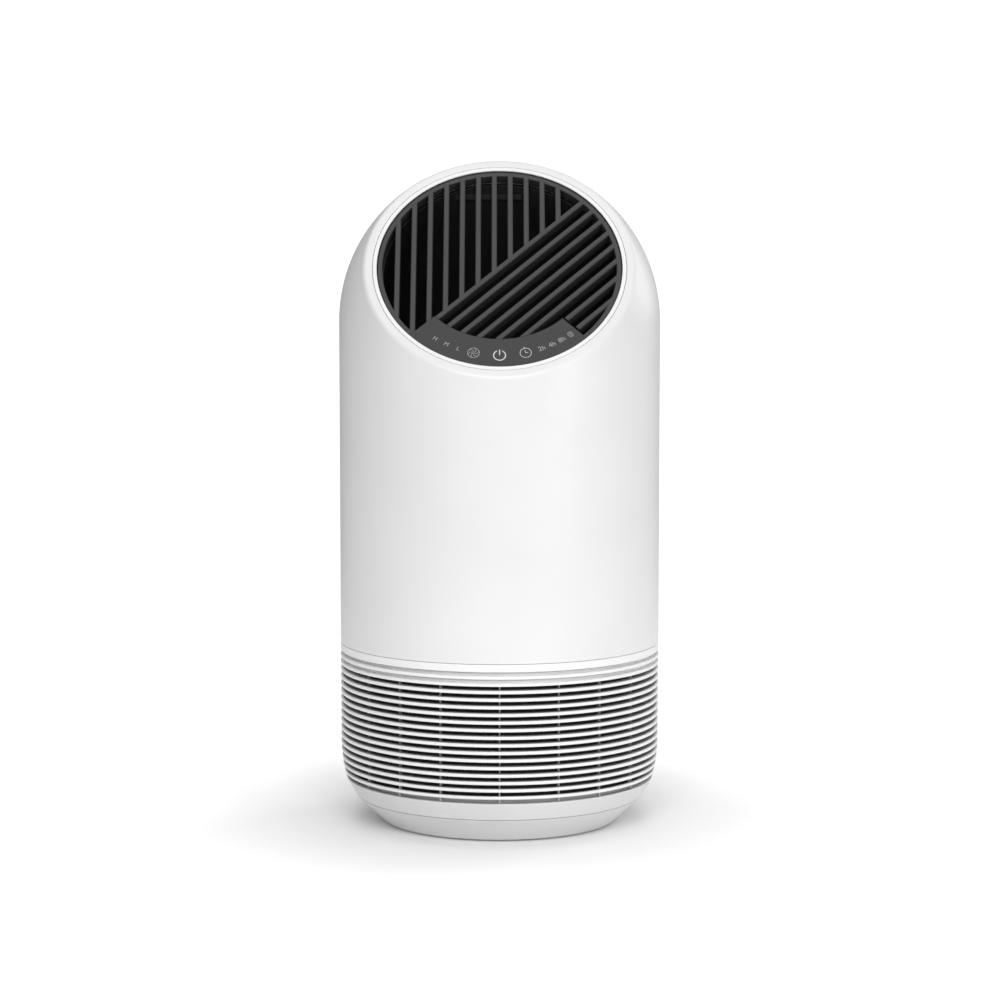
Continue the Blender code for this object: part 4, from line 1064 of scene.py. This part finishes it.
def build_base_band():
    seat_r = 89.3 * MM
    step_r, step_z = 92.6 * MM, 23.2 * MM
    outline = [
        (seat_r, BASE_SEAM_Z, 0),
        (94.75 * MM, BASE_SEAM_Z, FINE),
        (97.96 * MM, 23 * MM, 2 * MM),
        (101.3 * MM, 28.9 * MM, FINE),
        (101.1 * MM, BASE_TOP_Z, 0.2 * MM),
        (step_r, BASE_TOP_Z, 0),
        (step_r, step_z, 0),
        (seat_r, step_z, 0),
    ]
    band = turned("base_band", rounded(outline), FINE_STEPS)
    for azimuth in QUARTERS:
        notch = sector_outline(NOTCH_R, (azimuth - NOTCH_HALF, azimuth + NOTCH_HALF), 8)
        combine(band, raised("tool", notch, (BASE_SEAM_Z - 1 * MM, NOTCH_TOP)), "DIFFERENCE")
    stand_for(band, "base_ring")


def build_cover():
    top = BASE_SEAM_Z - GAP
    floor = 4.2 * MM
    wall_r = 86.2 * MM
    rib_in_r, rib_out_r, rib_top = 66 * MM, 72 * MM, 10.7 * MM
    outline = [
        (0, COVER_UNDER_Z, 0),
        (77.6 * MM, COVER_UNDER_Z, 1 * MM),
        (79.5 * MM, 3.1 * MM, 1 * MM),
        (83.2 * MM, 7 * MM, 2.5 * MM),
        (89 * MM, 12.2 * MM, 3 * MM),
        (94.55 * MM, top, FINE),
        (COLLAR_R, top, 0),
        (COLLAR_R, COVER_COLLAR_TOP, FINE),
        (wall_r, COVER_COLLAR_TOP, FINE),
        (wall_r, 12.6 * MM, 2 * MM),
        (78.2 * MM, floor, 1 * MM),
        (rib_out_r, floor, 0.5 * MM),
        (rib_out_r, rib_top, FINE),
        (rib_in_r, rib_top, FINE),
        (rib_in_r, floor, 0.5 * MM),
        (0, floor, 0),
    ]
    cover = turned("base_cover", rounded(outline), FINE_STEPS)
    for azimuth in QUARTERS:
        reach = (azimuth - LUG_HALF, azimuth + LUG_HALF)
        lug = sector_outline((COLLAR_R - 1 * MM, LUG_R), reach, 8, 0.5 * MM)
        combine(cover, raised("tool", lug, LUG_Z), "UNION")
        drill(cover, FOOT_R + GAP, (0, POCKET_TOP), FOOT_CIRCLE_R, [azimuth], 48)
    for middle in (0, math.pi):
        heights = (0, COVER_UNDER_Z + GRIP_DEPTH)
        combine(cover, raised("tool", bent_slot(middle), heights), "DIFFERENCE")
    stand_for(cover, "bottom_cover")
    build_turn_arrows()


def bent_slot(middle):
    """The outline of a finger grip: a slot bent round Z, with half-round ends."""
    start, end = middle - GRIP_HALF, middle + GRIP_HALF
    steps = 40
    turns = [start + (end - start) * i / steps for i in range(steps + 1)]
    points = [round_point(GRIP_R + GRIP_HALF_W, a, 0) for a in turns]
    points += round_end(end, 0)
    points += [round_point(GRIP_R - GRIP_HALF_W, a, 0) for a in turns[::-1]]
    points += round_end(start, math.pi)
    return [point.xy for point in points]


def round_end(azimuth, turn):
    centre = round_point(GRIP_R, azimuth, 0)
    out, along = round_point(1, azimuth, 0), round_point(1, azimuth + math.pi / 2, 0)
    angles = [turn + math.pi * k / 12 for k in range(1, 12)]
    return [centre + GRIP_HALF_W * (math.cos(a) * out + math.sin(a) * along) for a in angles]


def build_turn_arrows():
    """Two raised arrows under the cover that show which way it turns."""
    line_half = 0.9 * MM
    head_half = 2.6 * MM
    heights = (COVER_UNDER_Z - 0.35 * MM, COVER_UNDER_Z + 0.3 * MM)
    bm = bmesh.new()
    half_turn = math.radians(24)
    radii = (ARROW_R - line_half, ARROW_R + line_half)
    for middle in (math.pi / 2, -math.pi / 2):
        tip = middle + half_turn
        neck = tip - math.radians(8)
        add_prism(bm, sector_outline(radii, (middle - half_turn, neck + 0.01)), heights)
        corners = [round_point(ARROW_R - head_half, neck, 0), round_point(ARROW_R + head_half, neck, 0)]
        corners.append(round_point(ARROW_R, tip, 0))
        add_prism(bm, [corner.xy for corner in corners], heights)
    go_with(to_object("turn_arrows", bm), MATERIALS["base_white"], "bottom_cover")


def build_feet():
    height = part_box("foot_pad_1")[1].z
    groove = 0.35 * MM
    outline = [(0, 0, 0)]
    for radius in (1.6 * MM, 3.2 * MM, 4.6 * MM):
        low, high = radius - groove, radius + groove
        outline += [(r, z, 0.1 * MM) for r, z in ((low, 0), (low, groove), (high, groove), (high, 0))]
    outline += [(FOOT_R, 0, 0.5 * MM), (FOOT_R, height, 0.2 * MM), (0, height, 0)]
    for i, azimuth in enumerate(QUARTERS):
        foot = turned(f"foot_{i + 1}", rounded(outline), 64)
        stand_for(foot, f"foot_pad_{i + 1}", place=on_circle(FOOT_CIRCLE_R, azimuth))


# The filter cartridge


def build_filter_caps():
    low, high = CARTRIDGE_Z
    lip_in_r = CARTRIDGE_R - LIP_T
    floor = low + CAP_T
    outline = [(0, low, 0)]
    for radius in (46 * MM, 58 * MM, 78 * MM):
        outline += ring_groove(radius, low, 0.5 * MM)
    outline += [
        (CARTRIDGE_R, low, 0.8 * MM),
        (CARTRIDGE_R, floor + CAP_LIP, FINE),
        (lip_in_r, floor + CAP_LIP, FINE),
        (lip_in_r, floor, FINE),
        (0, floor, 0),
    ]
    stand_for(turned("cartridge_foot", rounded(outline)), "filter_bottom_cap")

    under = high - CAP_T
    outline = [
        (CORE_R, under, FINE),
        (lip_in_r, under, FINE),
        (lip_in_r, under - CAP_LIP, FINE),
        (CARTRIDGE_R, under - CAP_LIP, FINE),
        (CARTRIDGE_R, high, 0.8 * MM),
    ]
    for radius in (78 * MM, 68 * MM):
        outline += ring_groove(radius, high, -0.5 * MM)
    outline.append((CORE_R, high, 0.8 * MM))
    stand_for(turned("cartridge_head", rounded(outline)), "filter_top_cap")


def ring_groove(radius, z, depth):
    """Corners of a moulded groove, outward along a face when its depth is upward."""
    half = math.copysign(0.9 * MM, depth)
    mouth, bed = 0.2 * MM, 0.1 * MM
    inner = [(radius - half, z, mouth), (radius - half * 0.6, z + depth, bed)]
    return inner + [(radius + half * 0.6, z + depth, bed), (radius + half, z, mouth)]


def build_pleats(heights):
    """One sheet of paper folded round the core: the same zigzag outside and inside."""
    low, high = heights
    inner, outer = MEDIA_R
    fold = outer - inner - PAPER_DEPTH
    per_pleat = 8
    count = PLEATS * per_pleat
    zigzag = []
    for i in range(count):
        share = abs(2 * (i % per_pleat) / per_pleat - 1)
        soft = (1 - math.cos(math.pi * share)) / 2
        zigzag.append(inner + fold * (0.5 * share + 0.5 * soft))
    rings = []
    for depth, z in ((PAPER_DEPTH, low), (PAPER_DEPTH, high), (0, high), (0, low)):
        rings.append([round_point(r + depth, TURN * i / count, z) for i, r in enumerate(zigzag)])
    bm = bmesh.new()
    add_rings(bm, rings)
    stand_for(to_object("pleated_paper", bm), "filter_media")


def build_prefilter_net(heights):
    """The prefilter sleeve: two layers of slanting threads between two hems."""
    low, high = heights
    inner, outer = SLEEVE_R
    middle = (inner + outer) / 2
    hem = 3.5 * MM
    bm = bmesh.new()
    for z in (low, high - hem):
        add_turned(bm, rounded(rectangle(SLEEVE_R, (z, z + hem), FINE), 2))
    half = 0.55 * MM / middle
    rise = high - low - hem
    for way, radii in ((1, (inner + 0.1 * MM, middle)), (-1, (middle, outer - 0.1 * MM))):
        sides = rectangle(radii, (-half, half))
        for k in range(NET_THREADS):
            sections = []
            for share in shares(24):
                azimuth = TURN * k / NET_THREADS + way * share * rise / middle
                z = low + hem / 2 + rise * share
                sections.append([round_point(r, azimuth + turn, z) for r, turn in sides])
            add_strip(bm, sections)
    stand_for(to_object("prefilter_net", bm), "prefilter_sleeve")


def build_carbon_core(heights):
    """The carbon bed's tube, ribbed round its inner face."""
    low, high = heights
    inner, outer = CARBON_R
    ridge = 0.6 * MM
    outline = [(inner, low, 0), (outer, low, 0.4 * MM), (outer, high, 0.4 * MM), (inner, high, 0)]
    count = 14
    pitch = (high - low) / count
    for k in range(count):
        top = high - pitch * k
        for r, down in ((inner, 0.3), (inner + ridge, 0.45), (inner + ridge, 0.85)):
            outline.append((r, top - pitch * down, 0.3 * MM))
    stand_for(turned("carbon_bed", rounded(outline, 2), 144), "carbon_core")


def build_gasket():
    inner, outer = GASKET_R
    low = CARTRIDGE_Z[1] + GAP
    top = GASKET_TOP_Z
    middle = (inner + outer) / 2
    outline = [
        (inner, low, 0.2 * MM),
        (outer, low, 0.2 * MM),
        (outer, top, 1.2 * MM),
        (middle + 1 * MM, top, 0.6 * MM),
        (middle, top - 1.2 * MM, 0.5 * MM),
        (middle - 1 * MM, top, 0.6 * MM),
        (inner, top, 1.2 * MM),
    ]
    stand_for(turned("cartridge_gasket", rounded(outline)), "filter_gasket")


def build_pull_tab():
    """The ribbon loop under the cartridge."""
    root_z = CARTRIDGE_Z[0] - GAP
    soft = 4 * MM
    outer = [(36 * MM, root_z, 0), (28 * MM, 6.3 * MM, soft)]
    inner = [(27 * MM, 7.5 * MM, soft), (33.5 * MM, root_z, 0)]
    arch = [(-x, z, f) for x, z, f in outer] + outer[::-1]
    arch += inner[::-1] + [(-x, z, f) for x, z, f in inner]
    tab = raised("pull_ribbon", rounded(arch, 6), (-9 * MM, 9 * MM), FORWARDS)
    soften_edges(tab, 0.25 * MM)
    stand_for(tab, "filter_pull_tab")


def build_cartridge():
    layer = (CARTRIDGE_Z[0] + CAP_T + GAP, CARTRIDGE_Z[1] - CAP_T - GAP)
    build_filter_caps()
    build_pleats(layer)
    build_prefilter_net(layer)
    build_carbon_core(layer)
    build_gasket()
    build_pull_tab()


# The fan, the motor and the duct


def build_fan_deck():
    low, high = DECK_Z
    bell_r = INLET_R + 2 * MM
    outline = [
        (INLET_R, low, 1.5 * MM),
        (DECK_R, low, FINE),
        (DECK_R, high, FINE),
        (bell_r, high, 0.8 * MM),
        (bell_r, BELL_TOP_Z, 0.8 * MM),
        (INLET_R, BELL_TOP_Z, 0.8 * MM),
    ]
    bm = bmesh.new()
    add_turned(bm, rounded(outline))
    rib = rectangle((-0.8 * MM, 0.8 * MM), (bell_r - 0.5 * MM, 88 * MM))
    for turn in turns_round(24):
        add_prism(bm, rib, (high - 0.4 * MM, high + 1.2 * MM), turn)
    deck = to_object("fan_floor", bm)
    drill(deck, SHANK_HOLE_R, through(low, high), DECK_SCREW_R, QUARTERS)
    stand_for(deck, "fan_deck")


def build_inlet_guard():
    low, high = GUARD_Z
    fine = 0.35 * MM
    bm = bmesh.new()
    for radii in ((46.8 * MM, INLET_R - GAP), (31 * MM, 33 * MM)):
        add_turned(bm, rounded(rectangle(radii, GUARD_Z, fine)))
    hub_r = 14 * MM
    sunk = high - 0.6 * MM
    hub = [(0, low, 0), (hub_r, low, fine), (hub_r, high, fine), (11 * MM, high, fine)]
    add_turned(bm, rounded([*hub, (10 * MM, sunk, fine), (0, sunk, 0)]))
    half_w = 1 * MM
    bar = [(low, -half_w, fine), (low, half_w, fine), (high, half_w, fine), (high, -half_w, fine)]
    section = rounded(bar)
    ends = (13 * MM, 47.6 * MM)
    for turn in turns_round(6):
        add_strip(bm, [[turn @ Vector((x, y, z)) for z, y in section] for x in ends])
    stand_for(to_object("inlet_spokes", bm), "inlet_guard")


def build_fan_casing():
    low, high = CASING_Z
    inner_r, outer_r = CASING_R
    outline = [
        (inner_r, low, FINE),
        (DECK_R, low, FINE),
        (DECK_R, CASING_FLANGE_TOP, FINE),
        (outer_r, CASING_FLANGE_TOP, 0.8 * MM),
        (outer_r, high, FINE),
        (inner_r, high, FINE),
    ]
    casing = turned("fan_shell", rounded(outline))
    heights = (CASING_FLANGE_TOP, CASING_FLANGE_TOP + 6 * MM)
    drill(casing, SCREW_HEAD_R + 0.5 * MM, heights, DECK_SCREW_R, QUARTERS)
    drill(casing, SHANK_HOLE_R, through(low, CASING_FLANGE_TOP), DECK_SCREW_R, QUARTERS)
    stand_for(casing, "fan_casing")


def blade_outline():
    """A backward-swept blade seen from above, thickest at the middle of its sweep."""
    inner_r = IMPELLER_EYE_R + 1.5 * MM
    outer_r = IMPELLER_R - 1 * MM
    along = shares(18)
    middle = []
    for share in along:
        radius = inner_r + (outer_r - inner_r) * share
        middle.append(round_point(radius, BLADE_SWEEP * share**0.8, 0).xy)
    left, right = [], []
    for i, (point, share) in enumerate(zip(middle, along)):
        run = (middle[min(i + 1, len(middle) - 1)] - middle[max(i - 1, 0)]).normalized()
        half = (0.35 + 0.5 * math.sin(math.pi * (0.08 + 0.84 * share))) * MM
        side = Vector((-run.y, run.x)) * half
        left.append(point + side)
        right.append(point - side)
    return left + right[::-1]


def build_impeller():
    low, high = IMPELLER_Z
    plate_low = high - PLATE_T
    shroud_top = low + PLATE_T
    fine = 0.4 * MM
    plate = [
        (HUB_BORE_R, HUB_LOW_Z, 0),
        (8 * MM, HUB_LOW_Z, fine),
        (10 * MM, plate_low, 1.5 * MM),
        (IMPELLER_R, plate_low, fine),
        (IMPELLER_R, high, fine),
        (HUB_BORE_R, high, 0),
    ]
    shroud = [
        (IMPELLER_EYE_R, low, 0.8 * MM),
        (IMPELLER_R, low, fine),
        (IMPELLER_R, shroud_top, fine),
        (IMPELLER_EYE_R, shroud_top, 0.8 * MM),
    ]
    bm = bmesh.new()
    add_turned(bm, rounded(plate))
    add_turned(bm, rounded(shroud))
    bite = 0.5 * MM
    for turn in turns_round(BLADE_COUNT):
        add_prism(bm, blade_outline(), (shroud_top - bite, plate_low + bite), turn)
    rib = rectangle((-0.6 * MM, 0.6 * MM), (9 * MM, 50 * MM))
    for turn in turns_round(12):
        add_prism(bm, rib, (plate_low - 1.6 * MM, plate_low + 0.4 * MM), turn)
    stand_for(to_object("fan_wheel", bm), "impeller")


def vane_section():
    """A vane seen from its end, thickest at the middle of its height."""
    front = []
    for share in shares(16):
        half = 0.2 * MM + 0.7 * MM * math.sin(math.pi * share) ** 0.8
        front.append((half, VANE_HALF_H * (2 * share - 1)))
    return front + [(-half, z) for half, z in front[::-1]]


def build_diffuser():
    low, high = DIFFUSER_Z
    inner_r, outer_r = CUP_R
    rim_z = high - 1 * MM
    cup = [
        (CUP_HOLE_R, low, FINE),
        (outer_r, low, 1 * MM),
        (outer_r, rim_z, FINE),
        (inner_r, rim_z, FINE),
        (inner_r, CUP_PLATE_TOP, 1 * MM),
        (CUP_HOLE_R, CUP_PLATE_TOP, FINE),
    ]
    diffuser = turned("air_straightener", rounded(cup))
    heights = through(low, CUP_PLATE_TOP)
    drill(diffuser, SHANK_HOLE_R, heights, MOTOR_SCREW_R, MOTOR_SCREW_AZIMUTHS)
    bm = bmesh.new()
    bm.from_mesh(diffuser.data)
    add_turned(bm, rounded(rectangle(CASING_R, DIFFUSER_Z, FINE)))
    lean = Matrix.Rotation(VANE_LEAN, 4, "X")
    section = vane_section()
    for turn in turns_round(VANE_COUNT, 0.5):
        place = turn @ Matrix.Translation((0, 0, VANE_Z)) @ lean
        add_strip(bm, [[place @ Vector((x, y, z)) for y, z in section] for x in (59 * MM, 91 * MM)])
    bm.to_mesh(diffuser.data)
    bm.free()
    stand_for(diffuser, "diffuser")


def build_motor_housing():
    low, high = MOTOR_Z
    flange_r, can_r, hole_r = 42 * MM, 30 * MM, 4.5 * MM
    seat_r, seat_low, seat_high = 8.3 * MM, 152.4 * MM, 181.2 * MM
    hollow_r, hollow_low, hollow_high = 27.3 * MM, 157.2 * MM, 176.2 * MM
    sunk = high - 0.6 * MM
    outline = [
        (hole_r, low, FINE),
        (flange_r, low, FINE),
        (flange_r, MOTOR_FLANGE_TOP, FINE),
        (can_r, MOTOR_FLANGE_TOP, 1.2 * MM),
        (can_r, high, 2 * MM),
        (12 * MM, high, FINE),
        (11 * MM, sunk, FINE),
        (0, sunk, 0),
        (0, seat_high, 0),
        (seat_r, seat_high, 0),
        (seat_r, hollow_high, 0),
        (hollow_r, hollow_high, 0),
        (hollow_r, hollow_low, 0),
        (seat_r, hollow_low, 0),
        (seat_r, seat_low, 0),
        (hole_r, seat_low, 0),
    ]
    housing = turned("motor_can", rounded(outline))
    heights = through(low, MOTOR_FLANGE_TOP)
    drill(housing, SHANK_HOLE_R, heights, MOTOR_SCREW_R, MOTOR_SCREW_AZIMUTHS)
    stand_for(housing, "motor_housing")


def build_screw(name, node_name, shank, place):
    """A pan-head screw with a cross recess, its head resting on Z = 0 before it is placed."""
    outline = [
        (0, -shank, 0),
        (SHANK_R * 0.4, -shank, 0),
        (SHANK_R, -shank + 1.2 * MM, 0.3 * MM),
        (SHANK_R, 0, 0),
        (SCREW_HEAD_R, 0, 0.2 * MM),
        (SCREW_HEAD_R, SCREW_HEAD_T * 0.55, 0.8 * MM),
        (SCREW_HEAD_R * 0.55, SCREW_HEAD_T, 0.8 * MM),
        (0, SCREW_HEAD_T, 0),
    ]
    screw = turned(name, rounded(outline), 48)
    half_w, reach = 0.35 * MM, 1.5 * MM
    blade = rectangle((-half_w, half_w), (-reach, reach))
    heights = (SCREW_HEAD_T - 1.2 * MM, SCREW_HEAD_T + 1 * MM)
    for turn in turns_round(4)[:2]:
        combine(screw, raised("recess", blade, heights, turn), "DIFFERENCE")
    stand_for(screw, node_name, place=place)


def build_screw_set(family, places, shank):
    for i, place in enumerate(places, 1):
        build_screw(f"{family}_fixing_{i}", f"{family}_screw_{i}", shank, place)


def build_screws():
    deck_seat = CASING_FLANGE_TOP + GAP
    places = [on_circle(DECK_SCREW_R, azimuth, deck_seat) for azimuth in QUARTERS]
    build_screw_set("deck", places, deck_seat - DECK_SCREW_END)
    motor_seat = MOTOR_FLANGE_TOP + GAP
    places = [on_circle(MOTOR_SCREW_R, azimuth, motor_seat) for azimuth in MOTOR_SCREW_AZIMUTHS]
    build_screw_set("motor", places, motor_seat - MOTOR_SCREW_END)
    spots = [(x, BOARD_FACE_Y, z) for x in (-POST_X, POST_X) for z in POST_Z]
    build_screw_set("board", [Matrix.Translation(spot) @ FORWARDS for spot in spots], BOARD_SHANK)


def build_duct():
    angles = [TURN * k / 144 for k in range(144)]
    rings = [[round_point(radius, angle, DUCT_BOTTOM_Z) for angle in angles] for radius in DUCT_R]
    for wall, order in ((1, shares(12)), (0, shares(12)[::-1])):
        for share in order:
            rings.append([duct_wall(angle, share, wall) for angle in angles])
    bm = bmesh.new()
    add_rings(bm, rings)
    duct = to_object("outlet_duct", bm)
    panel_start, panel_end = Vector((45, -67, 304)) * MM, Vector((56, -77, 291)) * MM
    motor_start, motor_end = Vector((0, 85, 206)) * MM, Vector((0, 97, 206)) * MM
    for start, end in ((panel_start, panel_end), (motor_start, motor_end)):
        turn = (end - start).to_track_quat("Z", "Y").to_matrix().to_4x4()
        place = Matrix.Translation(start) @ turn
        cut_round(duct, LEAD_HOLE_R, (0, (end - start).length), place)
    stand_for(duct, "air_duct")


def duct_wall(angle, share, wall=0):
    """A point part of the way up the slanted wall of the duct: 0 is the inner face, 1 the outer."""
    low = round_point(DUCT_R[wall], angle, DUCT_BEND_Z)
    return low.lerp(outlet_point(DUCT_TOP_R[wall], angle, DUCT_TOP_DEPTH), share)


def build_duct_ledge():
    """The short ledge across the duct's back wall, just under the grille."""
    steps = 16
    sections = []
    for k in range(steps + 1):
        angle = LEDGE_ARC[0] + (LEDGE_ARC[1] - LEDGE_ARC[0]) * k / steps
        sunk, proud = round_point(0.4 * MM, angle, 0), round_point(LEDGE_T, angle, 0)
        rise = outlet_point(DUCT_TOP_R[0], angle, DUCT_TOP_DEPTH).z - DUCT_BEND_Z
        low, high = (duct_wall(angle, (z - DUCT_BEND_Z) / rise) for z in LEDGE_Z)
        sections.append([low + sunk, low - proud, high - proud, high + sunk])
    ledge = bridged("duct_ledge", sections)
    soften_edges(ledge, 0.3 * MM)
    go_with(ledge, MATERIALS["grille_grey"], "air_duct")


def build_power_socket():
    """The barrel socket at the back: a stepped cup with its centre pin."""
    fine = 0.25 * MM
    cup_r, flange_r, bore_r, pin_r = 6.2 * MM, 8.2 * MM, 2.9 * MM, 1 * MM
    flange_low, flange_top, mouth, floor, pin_top = (z * MM for z in (6.3, 8.3, 11.2, 2, 10))
    outline = [
        (0, 0, 0),
        (cup_r, 0, fine),
        (cup_r, flange_low, fine),
        (flange_r, flange_low, fine),
        (flange_r, flange_top, fine),
        (cup_r, flange_top, fine),
        (cup_r, mouth, 0.5 * MM),
        (bore_r, mouth, 0.4 * MM),
        (bore_r, floor, fine),
        (pin_r, floor, fine),
        (pin_r, pin_top, 0.5 * MM),
        (0, pin_top, 0),
    ]
    place = Matrix.Translation((0, SOCKET_Y, SOCKET_Z)) @ BACKWARDS
    stand_for(turned("inlet_socket", rounded(outline), 96), "power_socket", place=place)


def build_inside():
    build_cartridge()
    build_fan_deck()
    build_inlet_guard()
    build_fan_casing()
    build_impeller()
    build_diffuser()
    build_motor_housing()
    build_screws()
    build_duct()
    build_duct_ledge()
    build_power_socket()


# The studio


def add_area_light(name, place, size, watts):
    data = bpy.data.lights.new(name, "AREA")
    data.shape = "RECTANGLE"
    data.size, data.size_y = size
    data.energy = watts
    light = new_object(name, data)
    light.location = place
    light.rotation_euler = (Vector(LIGHT_TARGET) - Vector(place)).to_track_quat("-Z", "Y").to_euler()


def build_floor():
    """A pale round floor that fades into the bright surround."""
    bm = bmesh.new()
    radii = [FLOOR_R * (k / 16) ** 2 for k in range(17)]
    rings = [[round_point(r, TURN * i / 96, 0) for i in range(96 if r else 1)] for r in radii]
    add_rings(bm, rings, False)
    floor = to_object("studio_floor", bm)
    material, tree, where = start_material("pale_floor")
    shader = tree.nodes["Principled BSDF"].inputs
    tone = remap(tree, noise(tree, where, 3), 0.3, 0.7, 0.88, 0.91)
    color = node(tree, "ShaderNodeCombineColor", {"Red": tone, "Green": tone, "Blue": tone})
    tree.links.new(color.outputs[0], shader["Base Color"])
    shader["Roughness"].default_value = 0.7
    shader["Specular IOR Level"].default_value = 0.2
    shader["Emission Color"].default_value = (1, 1, 1, 1)
    away = node(tree, "ShaderNodeVectorMath", {0: where}, operation="LENGTH").outputs["Value"]
    # Painted light: the floor glows, faintly near the object and more strongly further out, so that it
    # reads white away from the object's shade.
    tree.links.new(remap(tree, away, *FLOOR_LIT, *FLOOR_GLOW), shader["Emission Strength"])
    tree.links.new(remap(tree, away, *FLOOR_FADE, 1, 0), shader["Alpha"])
    floor.data.materials.append(material)


def build_world():
    world = bpy.data.worlds.new("studio")
    world.use_nodes = True
    tree = world.node_tree
    tree.nodes.clear()
    seen = node(tree, "ShaderNodeLightPath").outputs["Is Camera Ray"]
    strength = remap(tree, seen, 0, 1, SKY_LIGHT, SKY_SEEN)
    sky = node(tree, "ShaderNodeBackground", {"Color": (1, 1, 1, 1), "Strength": strength})
    out = node(tree, "ShaderNodeOutputWorld")
    tree.links.new(sky.outputs[0], out.inputs["Surface"])
    bpy.context.scene.world = world


def build_camera():
    data = bpy.data.cameras.new("camera")
    data.lens = LENS
    data.sensor_width = SENSOR
    camera = new_object("camera", data)
    camera.location = CAMERA_PLACE
    camera.rotation_euler = (math.radians(90) - CAMERA_DOWN, 0, 0)
    bpy.context.scene.camera = camera


def build_studio():
    build_floor()
    build_world()
    for name, (place, size, watts) in SOFTBOXES.items():
        add_area_light(name, place, size, watts)
    bpy.context.scene.view_settings.view_transform = "Standard"
    build_camera()


finish_carried_nodes()
build_housing()
build_bezel()
build_grille()
build_gap_shadow_band()
build_touch_panel()
build_symbols()
build_intake()
build_base_band()
build_cover()
build_feet()
build_inside()
build_studio()
